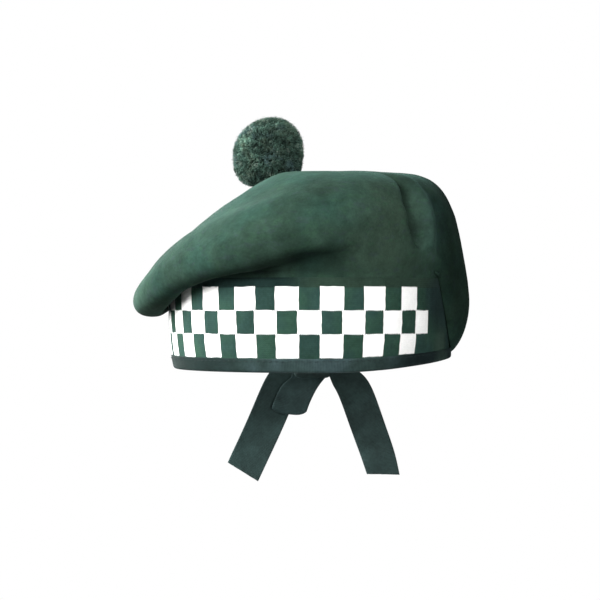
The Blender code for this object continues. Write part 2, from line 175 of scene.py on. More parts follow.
def along(x, y, at):
    x, y = np.asarray(x, float), np.asarray(y, float)
    m = slopes(x, y)
    at = np.clip(np.atleast_1d(at), x[0], x[-1])
    i = np.clip(np.searchsorted(x, at, side="right") - 1, 0, len(x) - 2)
    h = (x[i + 1] - x[i])[:, None]
    t = ((at - x[i])[:, None]) / h
    return (
        (2 * t**3 - 3 * t**2 + 1) * y[i]
        + (t**3 - 2 * t**2 + t) * h * m[i]
        + (3 * t**2 - 2 * t**3) * y[i + 1]
        + (t**3 - t**2) * h * m[i + 1]
    )


def by_station(rows, station, spread=4.0):
    """A table's row at a station, softened over a few degrees."""
    x = [row[0] for row in rows]
    y = [np.ravel(row[1:]) for row in rows]
    total, weight = 0.0, 0.0
    for step in (-2, -1, 0, 1, 2):
        at = abs(station + step * spread / 2)
        at = 360 - at if at > 180 else at
        share = math.exp(-0.5 * step**2)
        total = total + share * along(x, y, at)[0]
        weight += share
    return total / weight


def spline(points, steps):
    """Points on the natural cubic through `points`, `steps[i]` of them from each point to the next."""
    p = np.asarray(points, float)
    chord = np.linalg.norm(np.diff(p, axis=0), axis=1) ** 0.5
    t = np.concatenate([[0], np.cumsum(chord)])
    n = len(t)
    h = np.diff(t)
    a = np.zeros((n, n))
    b = np.zeros((n, p.shape[1]))
    a[0, 0] = a[-1, -1] = 1
    for i in range(1, n - 1):
        a[i, i - 1 : i + 2] = h[i - 1], 2 * (h[i - 1] + h[i]), h[i]
        b[i] = 3 * ((p[i + 1] - p[i]) / h[i] - (p[i] - p[i - 1]) / h[i - 1])
    c = np.linalg.solve(a, b)
    out = []
    for i, count in enumerate(steps):
        d = (c[i + 1] - c[i]) / (3 * h[i])
        s = (p[i + 1] - p[i]) / h[i] - h[i] * (2 * c[i] + c[i + 1]) / 3
        for k in range(count):
            u = h[i] * k / count
            out.append(p[i] + s * u + c[i] * u**2 + d * u**3)
    out.append(p[-1])
    return np.array(out)


def smooth(x):
    x = min(max(x, 0.0), 1.0)
    return x * x * (3 - 2 * x)


def smooth_array(x):
    x = np.clip(x, 0.0, 1.0)
    return x * x * (3 - 2 * x)


# ---------------------------------------------------------------- the rim's oval
def wrapped(angle):
    return (angle + 180) % 360 - 180


def oval(angle):
    t = math.radians(angle)
    point = np.array([RIM_HALF_WIDTH * math.cos(t), RIM_HALF_LENGTH * math.sin(t)])
    normal = np.array([math.cos(t) / RIM_HALF_WIDTH, math.sin(t) / RIM_HALF_LENGTH])
    return point, normal / np.linalg.norm(normal)


def band_point(angle, out, z):
    """A point off the band's outer face by `out`, at the band's height z, with its flare and raised rim."""
    point, normal = oval(angle)
    station = abs(wrapped(angle))
    flare = BAND_FLARE * smooth((station - FLARE_FROM) / (FLARE_TO - FLARE_FROM))
    flare *= 1 - math.exp(-max(z, 0.0) / FLARE_RISE)
    lift = by_station(RIM_LIFT, station)[0] * (1 - smooth(z / RIM_LIFT_FADE))
    return np.array([*(point + normal * (out + flare)), z + lift])


def even_angles(count, z):
    """Angles from the dicing's start round the oval the front way, at even lengths of arc, with those lengths."""
    fine = np.arange(0, 360.01, 0.25)
    line = np.array([band_point(DICE_START - a, 0.0, z)[:2] for a in fine])
    arc = np.concatenate([[0], np.cumsum(np.linalg.norm(np.diff(line, axis=0), axis=1))])
    at = np.linspace(0, arc[-1], count + 1)
    return DICE_START - np.interp(at, arc, fine), at


# ---------------------------------------------------------------- meshes
def grid_quads(rows, columns, wrap=True):
    """Corner indices (row, column) of a grid's quads; a wrapped grid's last row index is `rows`, for its UVs."""
    i = np.arange(rows if wrap else rows - 1)
    j = np.arange(columns - 1)
    a, b = (k.ravel() for k in np.meshgrid(i, j, indexing="ij"))
    return np.stack([np.stack([a, a + 1, a + 1, a], 1), np.stack([b, b, b + 1, b + 1], 1)], 2)


def grid_normals(grid, wrap=True):
    """Unit normals of a grid of points, from its neighbours."""
    if wrap:
        across = np.roll(grid, -1, axis=0) - np.roll(grid, 1, axis=0)
    else:
        across = np.gradient(grid, axis=0)
    up = np.gradient(grid, axis=1)
    normal = np.cross(across, up)
    size = np.linalg.norm(normal, axis=2, keepdims=True)
    return normal / np.where(size > 1e-9, size, 1.0)


def to_mesh(name, points, faces, uvs=None, values=None):
    """points in millimetres; uvs is {map: one (u, v) for each face corner}; values is {name: one number for each point}."""
    mesh = bpy.data.meshes.new(name)
    faces = [list(map(int, f)) for f in faces] if not isinstance(faces, np.ndarray) else faces.tolist()
    mesh.from_pydata((np.asarray(points) * MM).tolist(), [], faces)
    for key, uv in (uvs or {}).items():
        layer = mesh.uv_layers.new(name=key)
        layer.uv.foreach_set("vector", np.asarray(uv, np.float32).ravel())
    for key, numbers in (values or {}).items():
        made = mesh.attributes.new(key, "FLOAT", "POINT")
        made.data.foreach_set("value", np.asarray(numbers, np.float32))
    mesh.shade_smooth()
    mesh.update()
    obj = bpy.data.objects.new(name, mesh)
    bpy.context.scene.collection.objects.link(obj)
    return obj


def shell(name, outer, inner, u, v, wrap=True, pole=False, extra=None):
    """A closed skin between two grids of points of the same shape, the outer one facing away. u and v are the weave's
    coordinates of the rows and columns. With pole, the last column is one point on each side."""
    rows, columns = outer.shape[:2]
    full = columns - 1 if pole else columns
    quads = grid_quads(rows, full, wrap)
    i, j = quads[..., 0], quads[..., 1]
    front = (i % rows) * full + j
    count = rows * full
    points = [outer[:, :full].reshape(-1, 3), inner[:, :full].reshape(-1, 3)]
    u, v = np.asarray(u, float), np.asarray(v, float)
    v2 = v if v.ndim == 2 else np.broadcast_to(v, (len(u), len(v)))
    su = (u - u.min()) / np.ptp(u)
    sv = (v2 - v2.min()) / np.ptp(v2)
    weave = np.stack([u[i], v2[i, j]], -1)
    chart = np.stack([0.01 + 0.98 * su[i], 0.508 + 0.484 * sv[i, j]], -1)
    chart2 = np.stack([0.01 + 0.98 * su[i], 0.008 + 0.476 * sv[i, j]], -1)
    faces = [*front.tolist(), *(count + front[:, ::-1]).tolist()]
    weaves = [weave.reshape(-1, 2), weave[:, ::-1].reshape(-1, 2)]
    charts = [chart.reshape(-1, 2), chart2[:, ::-1].reshape(-1, 2)]
    inside = [np.zeros(count), np.ones(count)]

    def rim(j0, low, high, flip):
        r = np.arange(rows if wrap else rows - 1)
        a, b = (r % rows) * full + j0, ((r + 1) % rows) * full + j0
        quad = np.stack([a, count + a, count + b, b], 1)
        w = np.stack([np.stack([u[k], v2[k, j0]], -1) for k in (r, r, r + 1, r + 1)], 1)
        c = np.stack(
            [np.stack([0.01 + 0.98 * su[k], np.full(len(r), h)], -1) for k, h in ((r, high), (r, low), (r + 1, low), (r + 1, high))], 1
        )
        if flip:
            quad, w, c = quad[:, ::-1], w[:, ::-1], c[:, ::-1]
        faces.extend(quad.tolist())
        weaves.append(w.reshape(-1, 2))
        charts.append(c.reshape(-1, 2))

    rim(0, 0.487, 0.494, False)
    if pole:
        top, under = 2 * count, 2 * count + 1
        points += [outer[:1, -1], inner[:1, -1]]
        inside += [[0.0], [1.0]]
        r = np.arange(rows)
        a, b = r * full + full - 1, (r + 1) % rows * full + full - 1
        faces += np.stack([a, b, np.full(rows, top)], 1).tolist()
        faces += np.stack([count + b, count + a, np.full(rows, under)], 1).tolist()
        mid = (u[r] + u[r + 1]) / 2
        smid = (su[r] + su[r + 1]) / 2
        last, tip = v2[:, full - 1], v2[:, columns - 1]
        sl, st = sv[:, full - 1], sv[:, columns - 1]
        weaves.append(np.stack([np.stack([u[r], last[r]], -1), np.stack([u[r + 1], last[r]], -1), np.stack([mid, tip[r]], -1)], 1).reshape(-1, 2))
        weaves.append(np.stack([np.stack([u[r + 1], last[r]], -1), np.stack([u[r], last[r]], -1), np.stack([mid, tip[r]], -1)], 1).reshape(-1, 2))
        charts.append(np.stack([np.stack([0.01 + 0.98 * su[r], 0.508 + 0.484 * sl[r]], -1), np.stack([0.01 + 0.98 * su[r + 1], 0.508 + 0.484 * sl[r]], -1), np.stack([0.01 + 0.98 * smid, 0.508 + 0.484 * st[r]], -1)], 1).reshape(-1, 2))
        charts.append(np.stack([np.stack([0.01 + 0.98 * su[r + 1], 0.008 + 0.476 * sl[r]], -1), np.stack([0.01 + 0.98 * su[r], 0.008 + 0.476 * sl[r]], -1), np.stack([0.01 + 0.98 * smid, 0.008 + 0.476 * st[r]], -1)], 1).reshape(-1, 2))
    else:
        rim(full - 1, 0.496, 0.503, True)
    if not wrap:
        for row, flip in ((0, True), (rows - 1, False)):
            c0 = np.arange(full - 1)
            a, b = row * full + c0, row * full + c0 + 1
            quad = np.stack([a, count + a, count + b, b], 1)
            w = np.stack([np.stack([np.full(len(c0), u[row]), v2[row, k]], -1) for k in (c0, c0, c0 + 1, c0 + 1)], 1)
            x = 0.0 if row == 0 else 0.992
            c = np.stack(
                [np.stack([np.full(len(c0), x + d), 0.508 + 0.484 * sv[row, k]], -1) for k, d in ((c0, 0.001), (c0, 0.007), (c0 + 1, 0.007), (c0 + 1, 0.001))], 1
            )
            if flip:
                quad, w, c = quad[:, ::-1], w[:, ::-1], c[:, ::-1]
            faces.extend(quad.tolist())
            weaves.append(w.reshape(-1, 2))
            charts.append(c.reshape(-1, 2))
    values = {"inside": np.concatenate(inside)}
    for key, numbers in (extra or {}).items():
        numbers = np.asarray(numbers)
        flat = numbers[:, :full].ravel()
        values[key] = np.concatenate([flat, flat, *([numbers[:1, -1]] * 2 if pole else [])])
    obj = to_mesh(
        name,
        np.concatenate(points),
        faces,
        {"weave": np.concatenate(weaves), "OFBake": np.concatenate(charts)},
        values,
    )
    return face_out(obj)


def face_out(obj):
    """Turns a closed mesh's faces outwards as a whole."""
    mesh = obj.data
    mesh.calc_loop_triangles()
    p = np.empty(len(mesh.vertices) * 3, np.float32)
    mesh.vertices.foreach_get("co", p)
    f = np.empty(len(mesh.loop_triangles) * 3, np.int32)
    mesh.loop_triangles.foreach_get("vertices", f)
    p, f = p.reshape(-1, 3).astype(float), f.reshape(-1, 3)
    a, b, c = (p[f[:, k]] for k in range(3))
    if np.einsum("ij,ij->i", a, np.cross(b, c)).sum() < 0:
        mesh.flip_normals()
    return obj


def wobble(points, size, seed, octaves=1):
    """Soft noise at points in millimetres, about -1 to 1."""
    shift = Vector((seed * 17.31, seed * -9.17, seed * 5.53))
    out = np.zeros(len(points))
    for k in range(octaves):
        scale = 2.0**k / size
        out += [noise.noise(Vector(p) * scale + shift) / 2**k for p in points]
    return out


def tubes(name, lines, radii, sides, values=None, closed_ends=True):
    """Many tubes in one mesh. lines is (count, steps, 3), radii is (count, steps). Each is closed at both ends."""
    lines, radii = np.asarray(lines, float), np.asarray(radii, float)
    count, steps = lines.shape[:2]
    way = np.gradient(lines, axis=1)
    way /= np.linalg.norm(way, axis=2, keepdims=True) + 1e-12
    side = np.zeros_like(lines)
    pick = np.where(np.abs(way[:, 0, 2:3]) < 0.8, [[0.0, 0.0, 1.0]], [[1.0, 0.0, 0.0]])
    s = np.cross(way[:, 0], pick)
    for k in range(steps):
        s = s - way[:, k] * np.einsum("ij,ij->i", s, way[:, k])[:, None]
        s /= np.linalg.norm(s, axis=1, keepdims=True) + 1e-12
        side[:, k] = s
    up = np.cross(way, side)
    t = 2 * math.pi * np.arange(sides) / sides
    ring = (
        lines[:, :, None]
        + radii[:, :, None, None] * (np.cos(t)[None, None, :, None] * side[:, :, None] + np.sin(t)[None, None, :, None] * up[:, :, None])
    )
    per = steps * sides + 2
    tips = np.stack([lines[:, 0] - way[:, 0] * radii[:, :1] * 0.4, lines[:, -1] + way[:, -1] * radii[:, -1:] * 0.4], 1)
    points = np.concatenate([ring.reshape(count, -1, 3), tips], 1).reshape(-1, 3)
    local, chart = [], []
    for k in range(steps - 1):
        for m in range(sides):
            n = (m + 1) % sides
            local.append((k * sides + m, k * sides + n, (k + 1) * sides + n, (k + 1) * sides + m))
            chart.append(((m / sides, k), ((m + 1) / sides, k), ((m + 1) / sides, k + 1), (m / sides, k + 1)))
    caps, cap_chart = [], []
    for m in range(sides):
        n = (m + 1) % sides
        caps.append((n, m, steps * sides))
        cap_chart.append((((m + 1) / sides, 0), (m / sides, 0), ((m + 0.5) / sides, -0.5)))
        caps.append(((steps - 1) * sides + m, (steps - 1) * sides + n, steps * sides + 1))
        cap_chart.append(((m / sides, steps - 1), ((m + 1) / sides, steps - 1), ((m + 0.5) / sides, steps - 0.5)))
    base = (np.arange(count) * per)[:, None, None]
    quads = (np.array(local)[None] + base).reshape(-1, 4)
    trios = (np.array(caps)[None] + base).reshape(-1, 3)
    # Each tube has its own cell in the bake's chart.
    cells = math.ceil(math.sqrt(count))
    cell = np.stack([np.arange(count) % cells, np.arange(count) // cells], 1) / cells

    def charted(c):
        c = np.array(c, float)
        c = np.stack([0.08 + 0.84 * c[..., 0], 0.1 + 0.8 * (c[..., 1] + 0.5) / steps], -1) / cells
        return (c[None] + cell[:, None, None]).reshape(-1, 2)

    long = np.linspace(0, 1, steps)
    values = {k: np.repeat(np.asarray(x), per) for k, x in (values or {}).items()}
    values["along"] = np.tile(np.concatenate([np.repeat(long, sides), [0.0, 1.0]]), count)
    uv = np.concatenate([charted(chart), charted(cap_chart)])
    return to_mesh(name, points, quads.tolist() + trios.tolist(), {"OFBake": uv}, values)


def tied(obj, node, paint):
    """Gives a piece its material and its body, and hides the CAD node that it stands for."""
    obj.data.materials.append(paint)
    if node:
        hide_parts(node)
    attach(obj, "root")
    return obj


# ---------------------------------------------------------------- materials
class Paint:
    """A Principled material and short ways to add nodes to it. Distances are millimetres."""

    def __init__(self, name, roughness, specular=0.25, sheen=0.0, sheen_roughness=0.5, sheen_tint=(1.0, 1.0, 1.0)):
        self.material = bpy.data.materials.new(name)
        self.material.use_nodes = True
        self.tree = self.material.node_tree
        self.shader = self.tree.nodes["Principled BSDF"]
        sockets = self.shader.inputs
        sockets["Roughness"].default_value = roughness
        sockets["Specular IOR Level"].default_value = specular
        sockets["Sheen Weight"].default_value = sheen
        sockets["Sheen Roughness"].default_value = sheen_roughness
        sockets["Sheen Tint"].default_value = (*sheen_tint, 1.0)
        self.place = self.node("ShaderNodeTexCoord").outputs["Object"]

    def node(self, kind, **settings):
        made = self.tree.nodes.new(kind)
        for key, value in settings.items():
            setattr(made, key, value)
        return made

    def put(self, socket, value):
        if isinstance(value, bpy.types.NodeSocket):
            self.tree.links.new(value, socket)
        elif isinstance(value, tuple) and len(value) == 3 and socket.type == "RGBA":
            socket.default_value = (*value, 1.0)
        else:
            socket.default_value = value

    def math(self, kind, *values, clamp=False):
        made = self.node("ShaderNodeMath", operation=kind, use_clamp=clamp)
        for socket, value in zip(made.inputs, values):
            self.put(socket, value)
        return made.outputs[0]

    def mix(self, share, a, b, kind="MIX"):
        made = self.node("ShaderNodeMix", data_type="RGBA", blend_type=kind)
        self.put(made.inputs[0], share)
        self.put(made.inputs[6], a)
        self.put(made.inputs[7], b)
        return made.outputs[2]

    def blend(self, share, a, b):
        """a + (b - a) * share, for numbers."""
        made = self.node("ShaderNodeMix", data_type="FLOAT")
        self.put(made.inputs[0], share)
        self.put(made.inputs[2], a)
        self.put(made.inputs[3], b)
        return made.outputs[0]

    def ramp(self, value, low, high, to_low=0.0, to_high=1.0, kind="SMOOTHSTEP"):
        made = self.node("ShaderNodeMapRange", interpolation_type=kind)
        for socket, number in zip(made.inputs, (value, low, high, to_low, to_high)):
            self.put(socket, number)
        return made.outputs[0]

    def noise(self, size, detail=2.0, rough=0.5, where=None, distortion=0.0):
        made = self.node("ShaderNodeTexNoise")
        self.put(made.inputs["Vector"], where or self.place)
        self.put(made.inputs["Scale"], 1000.0 / size)
        self.put(made.inputs["Detail"], detail)
        self.put(made.inputs["Roughness"], rough)
        self.put(made.inputs["Distortion"], distortion)
        return made.outputs["Fac"]

    def stretched(self, *scale):
        made = self.node("ShaderNodeVectorMath", operation="MULTIPLY")
        self.put(made.inputs[0], self.place)
        made.inputs[1].default_value = scale
        return made.outputs[0]

    def near(self, centre, inner, outer):
        """1 within `inner` of a place, falling to 0 at `outer`."""
        made = self.node("ShaderNodeVectorMath", operation="DISTANCE")
        self.put(made.inputs[0], self.place)
        made.inputs[1].default_value = [c * MM for c in centre]
        return self.ramp(made.outputs["Value"], inner * MM, outer * MM, 1.0, 0.0)

    def weave(self):
        """The weave map's two coordinates, in millimetres."""
        made = self.node("ShaderNodeUVMap", uv_map="weave")
        split = self.node("ShaderNodeSeparateXYZ")
        self.put(split.inputs[0], made.outputs[0])
        return split.outputs[0], split.outputs[1]

    def number(self, name):
        return self.node("ShaderNodeAttribute", attribute_name=name).outputs["Fac"]

    def joined(self, x, y, z=0.0):
        made = self.node("ShaderNodeCombineXYZ")
        for socket, value in zip(made.inputs, (x, y, z)):
            self.put(socket, value)
        return made.outputs[0]

    def random(self, vector):
        made = self.node("ShaderNodeTexWhiteNoise", noise_dimensions="3D")
        self.put(made.inputs["Vector"], vector)
        return made.outputs["Value"]

    def dim(self, colour, factor):
        """The colour times a number."""
        made = self.node("ShaderNodeVectorMath", operation="SCALE")
        self.put(made.inputs[0], colour)
        self.put(made.inputs["Scale"], factor)
        return made.outputs[0]

    def sum(self, *parts):
        total = parts[0]
        for part in parts[1:]:
            total = self.math("ADD", total, part)
        return total

    def times(self, a, b):
        return self.math("MULTIPLY", a, b)

    def finish(self, colour, height=None, strength=1.0):
        """Colour and a height in millimetres."""
        self.put(self.shader.inputs["Base Color"], colour)
        if height is not None:
            bump = self.node("ShaderNodeBump")
            bump.inputs["Strength"].default_value = strength
            bump.inputs["Distance"].default_value = MM
            self.put(bump.inputs["Height"], height)
            self.put(self.shader.inputs["Normal"], bump.outputs[0])
        return self.material


def felt_paint():
    """Milled wool: a dense matt nap with soft clouds of lighter and darker wool, and painted light and shade where
    light and shade fall.
    """
    p = Paint("green_felt", 0.95, specular=0.02, sheen=0.045, sheen_roughness=0.4, sheen_tint=(0.42, 0.92, 0.78))
    cloud = p.noise(24.0, 3.0, 0.55, distortion=0.4)
    patch = p.noise(7.0, 3.0, 0.6)
    grain = p.noise(1.5, 3.0, 0.65)
    tone = p.sum(
        p.ramp(cloud, 0.3, 0.7, -0.17, 0.17, "LINEAR"),
        p.ramp(patch, 0.3, 0.7, -0.18, 0.18, "LINEAR"),
        p.ramp(grain, 0.3, 0.7, -0.13, 0.13, "LINEAR"),
        1.0,
    )
    colour = p.mix(p.ramp(p.noise(31.0, 2.0), 0.42, 0.66), (0.0148, 0.0304, 0.0218), (0.0142, 0.0348, 0.0262))
    # A browner cast at the front's right and a bluer one on the ridge, and a lighter, greener painted highlight on the
    # upper left, where the light falls.
    colour = p.mix(p.times(p.near((46.0, -92.0, 86.0), 10.0, 50.0), 0.75), colour, (0.0205, 0.0350, 0.0245))
    colour = p.mix(p.times(p.near((68.0, -62.0, 92.0), 6.0, 26.0), 0.50), colour, (0.0180, 0.0350, 0.0340))
    colour = p.mix(p.times(p.near((-60.0, -60.0, 96.0), 10.0, 60.0), 0.45), colour, (0.0165, 0.0430, 0.0330))
    # Wools of slightly different dyes milled together.
    colour = p.mix(p.ramp(p.noise(5.2, 3.0, 0.6, p.stretched(0.6, 1.0, 1.2)), 0.54, 0.66, 0.0, 0.42), colour, (0.0185, 0.0290, 0.0300))
    colour = p.mix(p.ramp(p.noise(4.6, 3.0, 0.6, p.stretched(-0.6, 1.0, -1.2)), 0.54, 0.66, 0.0, 0.42), colour, (0.0175, 0.0420, 0.0250))
    # Single lighter hairs in the nap.
    hair = p.noise(0.55, 2.0, 0.6, p.stretched(1.0, 1.0, 0.35), 1.2)
    colour = p.mix(p.ramp(hair, 0.66, 0.78, 0.0, 0.30), colour, (0.040, 0.068, 0.058))
    height = p.sum(
        p.times(p.noise(3.6, 3.0, 0.6), 0.34),
        p.times(grain, 0.16),
        p.times(hair, 0.07),
    )
    # Painted shade: the felt is darker where the cloth turns under and along the creases, and on the side that hangs
    # down, and its sheen is taken off there.
    under_shade = p.math("MULTIPLY", p.number("under"), -0.22)
    shaded = p.math("ADD", p.number("under"), p.times(p.near((122.0, -4.0, 70.0), 54.0, 96.0), 0.6))
    p.put(p.shader.inputs["Sheen Weight"], p.ramp(shaded, 0.0, 0.8, 0.045, 0.0))
    tone = p.times(tone, p.math("ADD", under_shade, 1.0))
    # Painted light and shade in spots: darker down the side that hangs down and its droop, beside the ridge, on the
    # right's shoulder and top, across the front above the fold, and in the fold and under its overhang; lighter on the
    # ridge, on the front's top and on its fold at the left, on the top's middle, the left tip and the droop's foot.
    for centre, inner, outer, change in (
        ((122.0, -4.0, 62.0), 48.0, 90.0, -0.50),
        ((70.0, -70.0, 78.0), 4.0, 17.0, 0.50),
        ((68.5, -71.0, 92.0), 2.0, 13.0, 0.16),
        ((81.0, -51.0, 73.0), 4.0, 14.0, -0.30),
        ((81.0, -50.0, 88.0), 4.0, 14.0, -0.34),
        ((79.0, -48.0, 103.0), 4.0, 14.0, -0.32),
        ((83.0, -48.0, 55.0), 6.0, 20.0, -0.30),
        ((59.0, -66.0, 110.0), 5.0, 17.0, -0.34),
        ((55.0, -58.0, 119.0), 6.0, 24.0, -0.28),
        ((18.0, -88.0, 107.0), 8.0, 28.0, -0.16),
        ((-30.0, -72.0, 101.0), 8.0, 26.0, -0.12),
        ((0.0, -95.0, 97.0), 6.0, 24.0, -0.13),
        ((59.0, -72.0, 98.0), 3.0, 11.0, -0.16),
        ((29.0, -95.0, 88.0), 4.0, 16.0, -0.16),
        ((-1.0, -62.0, 117.0), 6.0, 22.0, 0.16),
        ((-10.0, -110.0, 77.5), 4.0, 16.0, -0.30),
        ((-32.0, -110.0, 72.0), 3.0, 14.0, -0.26),
        ((-56.0, -101.0, 71.0), 3.0, 14.0, 0.20),
        ((-27.0, -96.0, 62.0), 5.0, 16.0, -0.60),
        ((-40.0, -92.0, 61.0), 3.0, 13.0, -0.40),
        ((-12.0, -98.0, 65.5), 3.0, 11.0, -0.30),
        ((89.0, -34.0, 17.0), 4.0, 14.0, 0.55),
        ((-8.0, -107.0, 66.5), 3.0, 17.0, -0.16),
        ((10.0, -105.0, 69.5), 3.0, 17.0, -0.20),
        ((70.0, -22.0, 119.0), 10.0, 46.0, -0.46),
        ((-12.0, -38.0, 117.0), 16.0, 44.0, 0.24),
        ((-104.0, -30.0, 48.0), 6.0, 30.0, 0.28),
    ):
        tone = p.times(tone, p.math("ADD", p.times(p.near(centre, inner, outer), change), 1.0))
    return p.finish(p.dim(colour, tone), height)


WALE = 13.45 / STITCH_ACROSS
COURSE = DICE_RISE / STITCH_UP


def knit_paint():
    """Stocking stitch in two wools. The colour changes from stitch to stitch, as dicing is knitted."""
    p = Paint("diced_knit", 0.94, specular=0.02, sheen=0.015, sheen_roughness=0.5, sheen_tint=(0.6, 0.95, 0.85))
    u, v = p.weave()
    inside = p.number("inside")
    drift = p.noise(5.0, 2.0)
    across = p.math("DIVIDE", u, WALE)
    across = p.math("ADD", across, p.ramp(drift, 0.0, 1.0, -0.42, 0.42, "LINEAR"))
    up = p.math("DIVIDE", p.math("SUBTRACT", v, DICE_FOOT), COURSE)
    up = p.math("ADD", up, p.ramp(p.noise(6.5, 2.0), 0.0, 1.0, -0.5, 0.5, "LINEAR"))
    # Each stitch is a V of two slanting legs.
    leg = p.math("ABSOLUTE", p.math("SUBTRACT", p.times(p.math("FRACT", across), 2.0), 1.0))
    rise = p.math("SUBTRACT", up, p.times(leg, 0.62))
    course = p.math("FLOOR", rise)
    swell = p.math("SINE", p.times(leg, math.pi))
    bead = p.math("SINE", p.times(p.math("FRACT", rise), math.pi))
    stitch = p.times(p.math("POWER", swell, 0.6), p.blend(p.math("POWER", bead, 0.7), 0.42, 1.0))
    row = p.math("FLOOR", p.math("DIVIDE", course, float(STITCH_UP)))

    def white_at(shift):
        wale = p.math("FLOOR", p.math("ADD", across, shift))
        column = p.math("FLOOR", p.math("DIVIDE", p.math("ADD", wale, 0.5), float(STITCH_ACROSS)))
        odd = p.math("MODULO", p.math("ADD", p.math("ADD", column, row), 40.0), 2.0)
        first = p.math("GREATER_THAN", column, -0.5)
        last = p.math("LESS_THAN", column, DICE_COLUMNS - 0.5)
        return p.times(p.times(p.math("GREATER_THAN", odd, 0.5), first), last)

    # White wool blooms a little over its neighbours.
    white = p.math("MAXIMUM", p.math("MAXIMUM", white_at(0.34), white_at(-0.34)), white_at(0.0))
    low = p.math("GREATER_THAN", row, -0.5)
    high = p.math("LESS_THAN", row, 2.5)
    white = p.times(p.times(p.times(white, low), high), p.math("LESS_THAN", inside, 0.5))
    column = p.math("FLOOR", p.math("DIVIDE", across, float(STITCH_ACROSS)))
    each = p.random(p.joined(column, row, 3.0))
    thread = p.random(p.joined(p.math("FLOOR", across), course, 7.0))
    # Painted shade in the dips of each stitch, with random tone by square, thread and cloud.
    shade = p.sum(
        p.blend(stitch, -0.30, 0.06),
        p.ramp(each, 0.0, 1.0, -0.10, 0.14, "LINEAR"),
        p.ramp(thread, 0.0, 1.0, -0.08, 0.08, "LINEAR"),
        p.ramp(p.noise(9.0, 3.0, 0.6), 0.3, 0.7, -0.12, 0.12, "LINEAR"),
        1.0,
    )
    green = p.dim(p.mix(p.ramp(p.noise(22.0, 2.0), 0.4, 0.6), (0.0205, 0.0500, 0.0350), (0.0190, 0.0440, 0.0370)), shade)
    # The white wool has the same painted shade in its stitches' dips, and it is painted brighter towards the dicing's
    # right end, where it faces away from the light.
    pale_shade = p.sum(p.blend(stitch, -0.13, 0.0), p.ramp(thread, 0.0, 1.0, -0.025, 0.025, "LINEAR"), 1.0)
    pale = p.dim(p.mix(p.near((72.0, -64.0, 34.0), 10.0, 30.0), (0.86, 0.86, 0.845), (0.93, 0.93, 0.915)), pale_shade)
    # The plain strip above the dicing has the crown's colour, with a painted shadow on it under the crown's overhang,
    # deepest at its top below the fold.
    plain = p.times(p.ramp(v, 50.6, 51.4), p.math("LESS_THAN", inside, 0.5))
    shadow = p.near((-48.0, -90.0, 58.0), 30.0, 58.0)
    green = p.mix(plain, green, p.dim(p.mix(shadow, (0.0185, 0.0352, 0.0250), (0.0088, 0.0205, 0.0182)), shade))
    hollow = p.times(p.near((-33.0, -94.0, 61.0), 13.0, 30.0), p.times(p.ramp(v, 54.6, 57.4), p.math("LESS_THAN", inside, 0.5)))
    green = p.dim(green, p.math("ADD", p.times(hollow, -0.62), 1.0))
    # Painted shade: the band's end goes dark navy under the crown's drooping side and beside the droop's edge, with a
    # painted lighter patch low down by that edge.
    green = p.mix(p.times(p.near((92.0, -20.0, 46.0), 30.0, 60.0), 0.45), green, p.dim((0.0085, 0.0150, 0.0168), shade))
    green = p.mix(p.times(p.near((78.0, -54.0, 42.0), 8.0, 24.0), 0.50), green, p.dim((0.0080, 0.0135, 0.0170), shade))
    green = p.mix(p.times(p.near((80.0, -46.0, 14.0), 5.0, 17.0), 0.60), green, p.dim((0.0360, 0.0580, 0.0450), shade))
    colour = p.mix(white, green, pale)
    height = p.sum(p.times(stitch, 0.26), p.times(p.noise(0.5, 2.0), 0.07))
    return p.finish(colour, height)


def braid_paint(name, dark, light, by_object=False, light_and_shade_spots=(), gloss=1.0):
    """Ribbed ribbon: ribs across its length, fine warp threads over them."""
    p = Paint(name, 0.70, specular=0.10 * gloss, sheen=0.04 * gloss, sheen_roughness=0.35, sheen_tint=(0.5, 0.85, 0.85))
    if by_object:
        split = p.node("ShaderNodeSeparateXYZ")
        p.put(split.inputs[0], p.place)
        u, v = p.times(split.outputs[2], 1000.0), p.times(split.outputs[0], 1000.0)
    else:
        u, v = p.weave()
    u = p.math("ADD", u, p.ramp(p.noise(6.0, 2.0), 0.0, 1.0, -0.25, 0.25, "LINEAR"))
    rib = p.math("POWER", p.math("ABSOLUTE", p.math("SINE", p.times(u, math.pi / 0.92))), 0.6)
    warp = p.math("ABSOLUTE", p.math("SINE", p.times(v, math.pi / 0.42)))
    cloth = p.times(rib, p.blend(warp, 0.78, 1.0))
    # Darker in the grooves between ribs and threads, as painted shade, with clouds of random tone.
    tone = p.sum(
        p.blend(cloth, -0.34, 0.10),
        p.ramp(p.noise(13.0, 3.0, 0.6), 0.3, 0.7, -0.18, 0.18, "LINEAR"),
        p.ramp(p.noise(2.6, 2.0, 0.6), 0.3, 0.7, -0.12, 0.12, "LINEAR"),
        1.0,
    )
    colour = p.mix(p.ramp(p.noise(26.0, 2.0), 0.38, 0.62), dark, light)
    # Painted light and shade in spots, where given.
    for centre, inner, outer, share, cast in light_and_shade_spots:
        colour = p.mix(p.times(p.near(centre, inner, outer), share), colour, cast)
    height = p.sum(p.times(cloth, 0.13), p.times(p.noise(0.5, 2.0), 0.02))
    return p.finish(p.dim(colour, tone), height)


